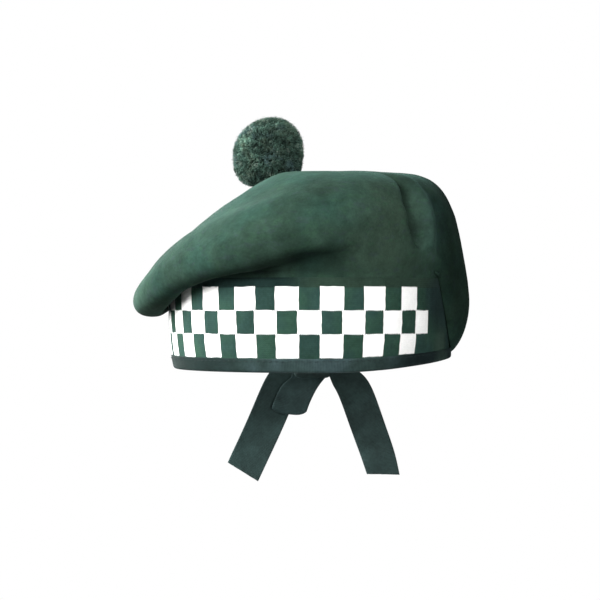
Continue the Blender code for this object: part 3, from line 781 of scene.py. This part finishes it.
def yarn_paint(name, fuzz=False):
    """Wool yarn of the pompom: painted shade deep between its ends, lighter on some of them, in clouds of greener and
    browner wool.
    """
    p = Paint(name, 0.95, specular=0.03, sheen=0.22 if fuzz else 0.10, sheen_roughness=0.45, sheen_tint=(0.55, 0.95, 0.78))
    tone, reach = p.number("tone"), p.number("along")
    colour = p.mix(p.ramp(tone, 0.20, 0.80), (0.0130, 0.0270, 0.0205), (0.0360, 0.0680, 0.0520))
    colour = p.mix(p.ramp(p.noise(9.0, 2.0, 0.6), 0.48, 0.66, 0.0, 0.75), colour, (0.0330, 0.0470, 0.0330))
    colour = p.mix(p.ramp(p.noise(11.0, 2.0, 0.6, p.stretched(-1.0, 1.0, 1.0)), 0.50, 0.68, 0.0, 0.75), colour, (0.0230, 0.0400, 0.0440))
    pale = p.math("ADD", p.times(tone, 0.34), p.noise(7.5, 2.0, 0.6, p.stretched(1.0, 1.0, -1.3)))
    colour = p.mix(p.ramp(pale, 0.79, 0.90, 0.0, 0.85), colour, (0.1150, 0.1500, 0.1250))
    # Painted highlights on the ball's left, where the light falls, and in lighter spots; painted shade at its bottom by
    # the crown and on its front's middle; and random clouds of tone.
    lit = p.math("ADD", p.times(p.near((-53.0, -15.0, 145.0), 5.0, 21.0), 1.3), 1.0)
    lit = p.times(lit, p.math("ADD", p.times(p.near((-9.0, -6.0, 143.0), 4.0, 14.0), 0.50), 1.0))
    lit = p.times(lit, p.math("ADD", p.times(p.near((-15.0, -13.0, 127.0), 3.0, 10.0), 0.40), 1.0))
    lit = p.times(lit, p.math("ADD", p.times(p.near((-36.0, -25.0, 130.0), 2.0, 10.0), 0.50), 1.0))
    lit = p.times(lit, p.math("ADD", p.times(p.near((-36.0, -16.0, 116.0), 3.0, 13.0), -0.40), 1.0))
    lit = p.times(lit, p.math("ADD", p.times(p.near((-16.0, -20.0, 138.0), 8.0, 24.0), -0.34), 1.0))
    lit = p.times(lit, p.ramp(p.noise(8.0, 2.0, 0.6), 0.36, 0.64, 0.42, 1.38, "LINEAR"))
    # The loose hairs are painted lighter, as if catching the light.
    if fuzz:
        return p.finish(p.dim(colour, p.times(lit, 1.35)))
    # Painted shade: each ply is darker towards the ball's middle.
    colour = p.dim(colour, p.times(lit, p.ramp(reach, 0.45, 1.0, 0.40, 1.15, "LINEAR")))
    height = p.sum(p.times(p.noise(0.8, 3.0, 0.7), 0.30), p.times(p.noise(0.3, 2.0), 0.10))
    return p.finish(colour, height)


def thread_paint(name, colour):
    p = Paint(name, 0.85, specular=0.06)
    shade = p.ramp(p.noise(0.7, 2.0), 0.3, 0.7, 0.8, 1.2, "LINEAR")
    return p.finish(p.dim(colour, shade), p.times(p.noise(0.4, 2.0), 0.06))


# ---------------------------------------------------------------- the crown
def crown_profile(angle):
    """Points of the crown's outer face at one angle, from the seam on the band to the button."""
    station = abs(wrapped(angle))
    fold = by_station(FOLD, station).reshape(-1, 2)
    dome = by_station(DOME, station, spread=8.0).reshape(-1, 2)
    foot = band_point(angle, 0.0, BAND_TOP)
    _, normal = oval(angle)
    button = np.array([BUTTON_X, 0.0, BUTTON_Z])

    def beside(out, z):
        return np.array([*(foot[:2] + normal * out), z])

    def inwards(share, z):
        return np.array([*(foot[:2] + (button[:2] - foot[:2]) * share), z])

    gutter, inside = fold[0], fold[1]
    run = (inside - gutter) / np.linalg.norm(inside - gutter)
    after = gutter + run + (0.9 * gutter[0] * max(-run[1], 0.0), 0.0)
    points = [beside(0.0, BAND_TOP + 0.03), beside(0.0, BAND_TOP + 0.15), beside(0.0, BAND_TOP + 1.4)]
    points += [beside(0.12 * gutter[0], gutter[1] - 1.0), beside(*gutter), beside(*after)]
    points += [beside(out, z) for out, z in fold[1:]]
    points += [beside(out, z) for out, z in dome[:3]]
    points += [inwards(share, z) for share, z in dome[3:]]
    points += [inwards(0.88, BUTTON_Z + 0.22 * (dome[4][1] - BUTTON_Z)), button]
    return spline(points, FINE_STEPS)


def press_dents(grid, angles):
    normal = grid_normals(grid)
    first = sum(FINE_STEPS[:COARSE_LIP])
    turn = np.array([wrapped(a) for a in angles]) * math.pi / 180 * 98.0
    here = np.stack([np.repeat(turn[:, None], grid.shape[1], 1), grid[..., 2]], -1)
    live = (grid[..., 1] <= 0) & (np.linalg.norm(grid[..., :2] - [BUTTON_X, 0], axis=-1) >= 45)
    live = live * smooth_array((np.arange(grid.shape[1]) - first) / 6.0)[None]
    live[:, -1] = 0
    creased = np.zeros(grid.shape[:2])
    for path, width, height in DENTS:
        path = np.array([(-station * math.pi / 180 * 98.0, z) for station, z in path])
        legs = np.linalg.norm(np.diff(path, axis=0), axis=1)
        done, best, share = 0.0, np.full(grid.shape[:2], np.inf), np.zeros(grid.shape[:2])
        for a, b, leg in zip(path[:-1], path[1:], legs):
            t = np.clip(((here - a) @ (b - a)) / leg**2, 0, 1)
            d = np.linalg.norm(here - a - t[..., None] * (b - a), axis=-1)
            share = np.where(d < best, (done + t * leg) / legs.sum(), share)
            best = np.minimum(best, d)
            done += leg
        fade = 0.35 + 0.65 * np.sin(math.pi * (0.1 + 0.8 * share))
        press = live * fade * np.exp(-((best / width) ** 2))
        grid = grid + normal * (height * press)[..., None]
        if width < 4:
            creased = np.maximum(creased, press)
    return grid, creased


def make_crown():
    angles, angle = [], -180.0
    while angle < 180.0 - 1e-6:
        angles.append(angle)
        angle += 0.72 if angle < 0 and 40 < abs(angle) <= 60 else 1.25
    grid, creased = press_dents(np.array([crown_profile(a) for a in angles]), angles)
    # Soft unevenness of the cloth, none of it at the seam and in the folds.
    lip, edge = sum(FINE_STEPS[:8]), sum(FINE_STEPS[:9])
    column = np.arange(grid.shape[1])
    free = smooth_array((column - lip) / (edge - lip)) * smooth_array((grid.shape[1] - 1 - column) / 6.0)
    flat = grid.reshape(-1, 3)
    bumps = 0.72 * wobble(flat, 36.0, 3) + 0.34 * wobble(flat, 15.0, 5) + 0.13 * wobble(flat, 6.0, 8) - 0.60
    grid = grid + grid_normals(grid) * (bumps.reshape(grid.shape[:2]) * free)[..., None]
    normal = grid_normals(grid)
    normal[:, -1] = (0.0, 0.0, 1.0)
    outer, inner = grid.copy(), grid - normal * CROWN_WALL
    # The foot's inner corner is rolled in, where it is sewn to the band.
    inner[:, 0] += normal[:, 0] * 0.35
    steps = np.linalg.norm(np.diff(grid, axis=1), axis=2).mean(axis=0)
    v = np.concatenate([[0], np.cumsum(steps)])
    u = np.radians([*angles, 180.0]) * 98.0
    # How far the cloth is turned under, for the felt's painted shade: in the front's and back's fold, and along the
    # narrow creases.
    station = np.array([abs(wrapped(a)) for a in angles])
    turned = smooth_array((station - 70.0) / 16.0)
    under = turned[:, None] * (smooth_array((38 - column) / 12.0) * smooth_array((column + 1) / 4.0))[None]
    under += 0.6 * turned[:, None] * (smooth_array((30 - column) / 4.0) * smooth_array((column - 3) / 3.0))[None]
    under += 1.1 * creased
    crown = shell("crown_felt", outer, inner, u, v, wrap=True, pole=True, extra={"under": under})
    return tied(crown, "crown", felt_paint())


# ---------------------------------------------------------------- band and binding
def band_grid(angles, section):
    """Points swept round the oval through section(k), the (out, z) points at angle number k."""
    rows = []
    for k, angle in enumerate(angles):
        point, normal = oval(angle)
        station = abs(wrapped(angle))
        out, z = np.asarray(section(k), float).T
        flare = BAND_FLARE * smooth((station - FLARE_FROM) / (FLARE_TO - FLARE_FROM))
        flare = flare * (1 - np.exp(-np.maximum(z, 0.0) / FLARE_RISE))
        lift = by_station(RIM_LIFT, station)[0] * (1 - smooth_array(z / RIM_LIFT_FADE))
        rows.append(np.column_stack([point[0] + normal[0] * (out + flare), point[1] + normal[1] * (out + flare), z + lift]))
    return np.array(rows)


def make_band():
    angles, arc = even_angles(416, 30.0)
    z = np.concatenate([np.linspace(BAND_BOTTOM, BAND_TOP - 0.7, 44), [BAND_TOP - 0.15, BAND_TOP]])
    roll = np.zeros(46)
    rise = (z - DICE_FOOT) / DICE_RISE
    in_rows = (rise > 0) & (rise < 3)
    uneven = wobble(np.column_stack([arc[:-1], np.zeros(416), np.zeros(416)]), 21.0, 4)

    def front(k):
        column = arc[k] / 13.45
        puff = 0.0
        if 0 < column < DICE_COLUMNS:
            puff = 0.24 * (1 - abs(math.cos(math.pi * column)) ** 7) * (1 - np.abs(np.cos(math.pi * rise)) ** 7) * in_rows
        return np.column_stack([puff - roll + 0.10 * uneven[k] * (z > 10) * (z < 54), z])

    def back(k):
        return np.column_stack([roll - BAND_WALL, z])

    band = shell("band_knit", band_grid(angles[:-1], front), band_grid(angles[:-1], back), arc, z)
    return tied(band, "head_band", knit_paint())


def binding_section():
    """The fold's outer line from its outer edge under the rim to its inner edge, and the line inside it."""
    o, i, h = BINDING_OUT, BINDING_IN, BINDING_HEIGHT
    middle, half = (o - i) / 2, (o + i) / 2
    turn = np.radians(np.linspace(0, 180, 19))
    x = middle + half * np.sign(np.cos(turn)) * np.abs(np.cos(turn)) ** 0.62
    z = 2.4 - 2.3 * np.abs(np.sin(turn)) ** 0.62
    up = np.linspace(h - 0.25, 2.9, 8)
    line = np.concatenate(
        [[[o - 0.22, h]], np.column_stack([np.full(8, o), up]), np.column_stack([x, z]), np.column_stack([np.full(8, -i), up[::-1]]), [[-i + 0.22, h]]]
    )
    way = np.gradient(line, axis=0)
    way /= np.linalg.norm(way, axis=1, keepdims=True)
    normal = np.column_stack([way[:, 1], -way[:, 0]]) * -1.0
    wall = np.full(len(line), 0.7)
    wall[[0, -1]] = 0.30
    inner = line - normal * wall[:, None]
    inner[0], inner[-1] = (o - 0.52, h), (-i + 0.52, h)
    return line, inner


def make_binding():
    angles, arc = even_angles(408, 4.0)
    line, inner = binding_section()
    flat = np.column_stack([arc[:-1], np.zeros(408), np.zeros(408)])
    pucker = 0.13 * wobble(flat, 6.0, 2) + 0.09 * wobble(flat, 19.0, 6)
    pucker += 0.06 * np.cos(2 * math.pi * arc[:-1] / 4.0)

    def part(points):
        def at(k):
            moved = points.copy()
            share = smooth_array((points[:, 1] - 2.0) / 5.5)
            outside = points[:, 0] > -1.4
            moved[:, 0] += np.where(outside, pucker[k], -0.6 * pucker[k]) * share
            moved[:, 1] += 0.5 * pucker[k] * share
            return moved

        return at

    across = np.concatenate([[0], np.cumsum(np.linalg.norm(np.diff(line, axis=0), axis=1))])
    binding = shell("rim_binding", band_grid(angles[:-1], part(line)), band_grid(angles[:-1], part(inner)), arc, across)
    # Painted shade: darker and greener at the sides, with a painted lighter patch by the droop's edge on the wearer's
    # left.
    light_and_shade_spots = (((-84.0, -52.0, 4.0), 34.0, 84.0, 0.92, (0.0040, 0.0098, 0.0084)), ((78.0, -54.0, 6.0), 26.0, 62.0, 0.95, (0.0050, 0.0092, 0.0098)), ((81.0, -44.0, 5.0), 4.0, 17.0, 0.75, (0.0220, 0.0380, 0.0320)))
    paint = braid_paint("slate_binding", (0.0216, 0.0380, 0.0352), (0.0274, 0.0453, 0.0472), light_and_shade_spots=light_and_shade_spots, gloss=0.25)
    return tied(binding, "edge_binding", paint), arc[-1], across[-1]


def make_stitches():
    """Running stitches that hold the binding's two edges."""
    angles, arc = even_angles(1224, 4.0)
    lines = []
    for out, z in ((BINDING_OUT + 0.06, 6.9), (-BINDING_IN - 0.06, 6.9)):
        for k in range(0, 1224, 8):
            run = []
            for step, lift in ((0, -0.34), (1, 0.06), (2, 0.12), (3, 0.12), (4, 0.06), (5, -0.34)):
                angle = angles[(k + step) % 1224]
                sign = 1 if out > 0 else -1
                run.append(band_point(angle, out + sign * lift, z + 0.04 * ((k * 7) % 5 - 2)))
            lines.append(run)
    radii = np.full((len(lines), 6), 0.19)
    stitches = tubes("binding_stitches", lines, radii, 5)
    return tied(stitches, None, thread_paint("slate_thread", (0.015, 0.024, 0.024)))


# ---------------------------------------------------------------- ribbons
def back_face(x, z):
    ratio = np.sqrt(np.maximum(1 - (x / (RIM_HALF_WIDTH + 4)) ** 2, 0.0))
    flare = BAND_FLARE * (1 - np.exp(-np.maximum(z, 0.0) / FLARE_RISE))
    return RIM_HALF_LENGTH * ratio + BINDING_OUT + flare


def strip_rows(table, spacing):
    """Rows of a strip's table at even spacing along its middle line."""
    fine = spline([list(row) for row in table], [60] * (len(table) - 1))
    arc = np.concatenate([[0], np.cumsum(np.hypot(*np.diff(fine[:, :2], axis=0).T))])
    count = max(int(round(arc[-1] / spacing)), 2)
    at = np.linspace(0, arc[-1], count + 1)
    return np.column_stack([np.interp(at, arc, column) for column in fine.T]), at


def strip_grid(rows, across, cup=0.6):
    share = np.linspace(0, 1, across + 1)
    grid = []
    for x, z, off, width, lean, *tilt in rows:
        t = math.radians(lean)
        w = (share - 0.5) * width
        px, pz = x + w * math.cos(t), z + w * math.sin(t)
        y = back_face(x, z) + 0.35 * (back_face(px, z) - back_face(x, z)) + off + cup * np.cos(math.pi * (share - 0.5))
        y = y + sum(tilt) * (0.5 - share)
        grid.append(np.column_stack([px, y, pz]))
    return np.array(grid)


def cloth_sides(grid, wall):
    """The two faces of a ribbon with a thin selvedge, from its middle surface."""
    normal = grid_normals(grid, wrap=False)
    half = np.full(grid.shape[1], wall / 2)
    half[[0, -1]] *= 0.22
    return grid + normal * half[None, :, None], grid - normal * half[None, :, None]


def make_tail(name, node, table, seed, paint):
    rows, at = strip_rows(table, 0.75)
    width = rows[-1][3]
    share = np.concatenate([[0, 0.022], np.linspace(0.06, 0.94, 16), [0.978, 1.0]])
    grid = strip_grid(rows, 64)
    pick = share * 64
    low = np.floor(pick).astype(int).clip(0, 63)
    grid = grid[:, low] + (grid[:, low + 1] - grid[:, low]) * (pick - low)[None, :, None]
    # The ribbon hangs in slack waves, and its edges curl a little.
    hang = smooth_array((at - 12.0) / 20.0)[:, None]
    wave = 0.55 * np.sin(2 * math.pi * at / 31.0 + seed)[:, None] + 0.35 * np.sin(
        2 * math.pi * at[:, None] / 19.0 + seed * 2.1 + (share[None] - 0.5) * 2.4
    )
    curl = 0.9 * (2 * np.abs(share - 0.5)) ** 4
    grid[..., 1] += hang * (wave + curl[None] * np.sin(at[:, None] / 14.0 + seed))
    # Threads stand a little out of line at the cut end.
    ragged = wobble(np.column_stack([share * width * 3, np.zeros(20), np.zeros(20)]), 2.2, seed)
    grid[-1, :, 2] += 0.16 * ragged
    outer, inner = cloth_sides(grid, RIBBON_WALL)
    tail = shell(name, outer, inner, at, share * width, wrap=False)
    return tied(tail, node, paint), at[-1], width


def make_loop(paint):
    """A strip that runs down, folds back at its rounded bottom and runs up again behind itself."""
    rows, at = strip_rows(LOOP_DOWN, 0.75)
    share = np.concatenate([[0, 0.02], np.linspace(0.06, 0.94, 19), [0.98, 1.0]])
    front = strip_grid(rows, 100)[:, np.round(share * 100).astype(int)]
    t = math.radians(LOOP_DOWN[-1][4])
    drop = np.array([math.sin(t), 0.0, -math.cos(t)])
    run = list(front)
    for k in range(1, 12):
        turn = math.pi * k / 12
        reach = (0.4 + 3.4 * (1 - np.abs(2 * share - 1) ** 4)) * math.sin(turn)
        run.append(front[-1] + drop * reach[:, None] + np.array([0, LOOP_FOLD * (1 - math.cos(turn)), 0]))
    for i, row in enumerate(reversed(front)):
        back = i / (len(front) - 1)
        run.append(row + np.array([0, 2 * LOOP_FOLD * (1 - 0.45 * back), 0]))
    grid = np.array(run)
    length = np.concatenate([[0], np.cumsum(np.linalg.norm(np.diff(grid[:, len(share) // 2], axis=0), axis=1))])
    outer, inner = cloth_sides(grid, RIBBON_WALL)
    loop = shell("ribbon_loop_cloth", outer, inner, length, share * 24.6, wrap=False)
    return tied(loop, "ribbon_loop", paint), length[-1]


def make_knot(paint):
    """The ribbon drawn tight round the others: a pinched pad with pleats that run up and down."""
    work = bmesh.new()
    bmesh.ops.create_cube(work, size=2.0)
    bmesh.ops.subdivide_edges(work, edges=work.edges, cuts=27, use_grid_fill=True)
    a, b, c = KNOT_SIZE[0] / 2, KNOT_SIZE[1] / 2, KNOT_SIZE[2] / 2
    for vert in work.verts:
        x, y, z = vert.co
        d = Vector((x, y, z)).normalized()
        size = (abs(d.x) ** 4.6 + abs(d.y) ** 3.2 + abs(d.z) ** 4.6) ** (-1 / 4.2)
        x, y, z = d.x * size, d.y * size, d.z * size
        pleat = math.cos(2 * math.pi * (x * 2.3 + 0.22 * math.sin(2.4 * z + 0.6)))
        pinch = 1 - 0.06 * (1 - min(abs(z), 1.0) ** 2)
        px = x * a * pinch
        pz = KNOT_Z + z * c
        depth = b * (1 + y) + 0.42 * pleat * max(y, 0.0)
        py = back_face(px, pz) + KNOT_OFF + depth * (1 - 0.10 * abs(z) ** 3)
        vert.co = (px * MM, py * MM, pz * MM)
    mesh = bpy.data.meshes.new("ribbon_knot_cloth")
    work.to_mesh(mesh)
    work.free()
    mesh.shade_smooth()
    knot = bpy.data.objects.new("ribbon_knot_cloth", mesh)
    bpy.context.scene.collection.objects.link(knot)
    return tied(face_out(knot), "ribbon_knot", paint)


# ---------------------------------------------------------------- the toorie
def toorie_reach(d):
    """How far the ball's outer surface is from its middle, in the directions d, as points."""
    tilt = math.radians(TOORIE_TILT)
    radius = TOORIE_RADIUS * (
        1 + 0.085 * np.maximum(d @ [0.64, 0, 0.77], 0) ** 3 - 0.04 * np.maximum(d @ [-0.6, 0, 0.8], 0) ** 3
    )
    side = np.hypot(d[:, 0], d[:, 1])
    squarer = (side**TOORIE_FULL + np.abs(d[:, 2]) ** TOORIE_FULL) ** (1 / TOORIE_FULL)
    p = d * np.where(d[:, 2] < 0, radius / squarer, radius)[:, None]
    down = np.array([math.sin(tilt), 0, -math.cos(tilt)])
    reach = (TOORIE_Z - BUTTON_Z - TOORIE_GAP) * math.cos(tilt) - (BUTTON_X - TOORIE_X) * math.sin(tilt)
    return p - down * np.maximum(p @ down - reach, 0)[:, None]


def ball(count):
    k = np.arange(count) + 0.5
    z = 1 - 2 * k / count
    turn = k * math.pi * (3 - math.sqrt(5))
    side = np.sqrt(1 - z * z)
    return np.column_stack([side * np.cos(turn), side * np.sin(turn), z])


def unit(d):
    return d / np.linalg.norm(d, axis=-1, keepdims=True)


def make_toorie():
    """Cut yarn: clumps of three plies from the middle out to the ball's surface, and loose hairs."""
    rng = np.random.default_rng(11)
    centre = np.array([TOORIE_X, 0.0, TOORIE_Z])
    clumps = 900
    middle = unit(ball(clumps) + rng.normal(0, 0.026, (clumps, 3)))
    lean = rng.normal(0, 0.038, (clumps, 3))
    short = rng.uniform(0.93, 1.005, clumps) - 0.035 * (rng.random(clumps) < 0.15)
    clump_tone = rng.random(clumps)
    spin = rng.uniform(0, 2 * math.pi, clumps)
    lines, radii, tones = [], [], []
    shares = (0.50, 0.74, 0.88, 0.965, 1.0)
    for ply in range(3):
        turn = spin + ply * 2 * math.pi / 3
        pick = np.where(np.abs(middle[:, 2:3]) < 0.8, [[0.0, 0.0, 1.0]], [[1.0, 0.0, 0.0]])
        side = unit(np.cross(middle, pick))
        up = np.cross(middle, side)
        length = short + rng.uniform(-0.025, 0.02, clumps)
        points = []
        for share in shares:
            twist = turn + 1.3 * share
            off = (0.008 + 0.028 * share) * (np.cos(twist)[:, None] * side + np.sin(twist)[:, None] * up)
            d = unit(middle + off + lean * share**2)
            points.append(centre + toorie_reach(d) * (share * length)[:, None])
        lines.append(np.stack(points, 1))
        fat = rng.uniform(0.85, 1.15, clumps)[:, None]
        radii.append(fat * np.array([[0.42, 0.66, 0.84, 0.82, 0.50]]))
        tones.append(np.clip(0.72 * clump_tone + 0.28 * rng.random(clumps), 0, 1))
    plies = tubes("toorie_yarn", np.concatenate(lines), np.concatenate(radii), 6, {"tone": np.concatenate(tones)})
    tied(plies, "toorie", yarn_paint("green_yarn"))

    work = bmesh.new()
    bmesh.ops.create_icosphere(work, subdivisions=4, radius=1.0)
    d = unit(np.array([v.co for v in work.verts]))
    core = centre + toorie_reach(d) * 0.80
    for vert, p in zip(work.verts, core):
        vert.co = p * MM
    mesh = bpy.data.meshes.new("toorie_core")
    work.to_mesh(mesh)
    work.free()
    mesh.shade_smooth()
    inner = bpy.data.objects.new("toorie_core", mesh)
    bpy.context.scene.collection.objects.link(inner)
    # The packed middle is painted darker than the yarn, as shade deep in the ball.
    tied(inner, None, thread_paint("green_yarn_core", (0.010, 0.020, 0.015)))

    hairs = 7600
    d = unit(ball(hairs) + rng.normal(0, 0.02, (hairs, 3)))
    stray = rng.normal(0, 0.05, (hairs, 3))
    long = rng.uniform(0.2, 1.0, hairs) * np.where(rng.random(hairs) < 0.06, 1.8, 1.0)
    points = []
    for share in (0.0, 0.35, 0.7, 1.0):
        way = unit(d + stray * share**1.5)
        surface = toorie_reach(way)
        grow = np.linalg.norm(surface, axis=1)
        points.append(centre + surface * ((grow - 1.2 + share * (long + 0.9)) / grow)[:, None])
    fine = np.repeat([[0.10, 0.09, 0.07, 0.04]], hairs, 0)
    fuzz = tubes("toorie_fuzz", np.stack(points, 1), fine, 3, {"tone": rng.random(hairs) * 0.9})
    tied(fuzz, None, yarn_paint("green_yarn_hair", fuzz=True))


# ---------------------------------------------------------------- camera, light and floor
def make_camera():
    data = bpy.data.cameras.new("camera")
    data.lens = 120.93
    data.sensor_width = 36.0
    camera = bpy.data.objects.new("camera", data)
    bpy.context.scene.collection.objects.link(camera)
    camera.location = (0.0, -1.300, 0.040)
    aim = Vector((-0.00806, 0.0, 0.0439)) - camera.location
    camera.rotation_euler = aim.to_track_quat("-Z", "Y").to_euler()
    bpy.context.scene.camera = camera


def make_light(name, place, aim, size, power, colour=(1.0, 1.0, 1.0)):
    data = bpy.data.lights.new(name, "AREA")
    data.shape = "RECTANGLE"
    data.size, data.size_y = size
    data.energy = power
    data.color = colour
    light = bpy.data.objects.new(name, data)
    bpy.context.scene.collection.objects.link(light)
    light.location = place
    light.rotation_euler = (Vector(aim) - Vector(place)).to_track_quat("-Z", "Y").to_euler()


def make_studio():
    for name, azimuth, elevation, size, power in (
        ("key", -92.0, 30.0, 0.9, 56.0),
        ("key_low", -105.0, 5.0, 0.9, 58.0),
        ("left_front", -50.0, 30.0, 0.8, 28.0),
        ("front", -25.0, 25.0, 0.8, 32.0),
        ("low_right", 25.0, 4.0, 0.8, 29.0),
        ("back_left", -150.0, 12.0, 0.9, 46.0),
        ("back", 175.0, 50.0, 0.9, 18.0),
    ):
        # Azimuth 0 is the camera's side, negative is to the picture's left.
        a, e = math.radians(azimuth), math.radians(elevation)
        way = Vector((math.sin(a) * math.cos(e), -math.cos(a) * math.cos(e), math.sin(e)))
        make_light(name, Vector((0.0, 0.0, 0.04)) + way * 1.7, (0.0, 0.0, 0.04), (size, size), power)
    world = bpy.data.worlds.new("studio")
    bpy.context.scene.world = world
    world.use_nodes = True
    tree = world.node_tree
    tree.nodes.clear()
    out = tree.nodes.new("ShaderNodeOutputWorld")
    mix = tree.nodes.new("ShaderNodeMixShader")
    seen, lit = (tree.nodes.new("ShaderNodeBackground") for _ in range(2))
    path = tree.nodes.new("ShaderNodeLightPath")
    lit.inputs["Color"].default_value = (1.0, 1.0, 1.0, 1.0)
    lit.inputs["Strength"].default_value = 0.04
    seen.inputs["Color"].default_value = (1.0, 1.0, 1.0, 1.0)
    seen.inputs["Strength"].default_value = 1.0
    tree.links.new(path.outputs["Is Camera Ray"], mix.inputs[0])
    tree.links.new(lit.outputs[0], mix.inputs[1])
    tree.links.new(seen.outputs[0], mix.inputs[2])
    tree.links.new(mix.outputs[0], out.inputs["Surface"])
    settings = bpy.context.scene.view_settings
    settings.view_transform = "Standard"
    settings.look = "None"
    settings.exposure = 0.0
    settings.gamma = 1.0


def make_floor():
    """A pale round floor under the bonnet that fades out, well below the photograph's frame."""
    work = bmesh.new()
    bmesh.ops.create_circle(work, cap_ends=True, segments=96, radius=1.15)
    mesh = bpy.data.meshes.new("floor")
    work.to_mesh(mesh)
    work.free()
    floor = bpy.data.objects.new("floor", mesh)
    bpy.context.scene.collection.objects.link(floor)
    floor.location = (0.0, 0.0, -0.34)
    p = Paint("pale_floor", 0.8, specular=0.2)
    far = p.node("ShaderNodeVectorMath", operation="LENGTH")
    p.put(far.inputs[0], p.place)
    p.put(p.shader.inputs["Alpha"], p.ramp(far.outputs["Value"], 0.55, 1.12, 1.0, 0.0))
    p.finish((0.86, 0.86, 0.86))
    mesh.materials.append(p.material)
    floor.visible_diffuse = False


make_camera()
make_crown()
make_band()
_, rim_length, binding_width = make_binding()
make_stitches()
slate = braid_paint("slate_ribbon", (0.0169, 0.0314, 0.0296), (0.0207, 0.0388, 0.0366))
tail_left, left_length, left_width = make_tail("ribbon_left_cloth", "ribbon_tail_left", TAIL_LEFT, 1.0, slate)
tail_right, right_length, right_width = make_tail("ribbon_right_cloth", "ribbon_tail_right", TAIL_RIGHT, 2.3, slate)
# The loop's copy of the ribbon's paint is a little lighter, as painted light, and the knot's a little darker, as
# painted shade.
loop, loop_length = make_loop(braid_paint("slate_loop", (0.0172, 0.0325, 0.0315), (0.0213, 0.0400, 0.0390)))
make_knot(braid_paint("slate_knot", (0.0148, 0.0268, 0.0252), (0.0182, 0.0335, 0.0315), by_object=True))
make_toorie()
make_floor()
make_studio()
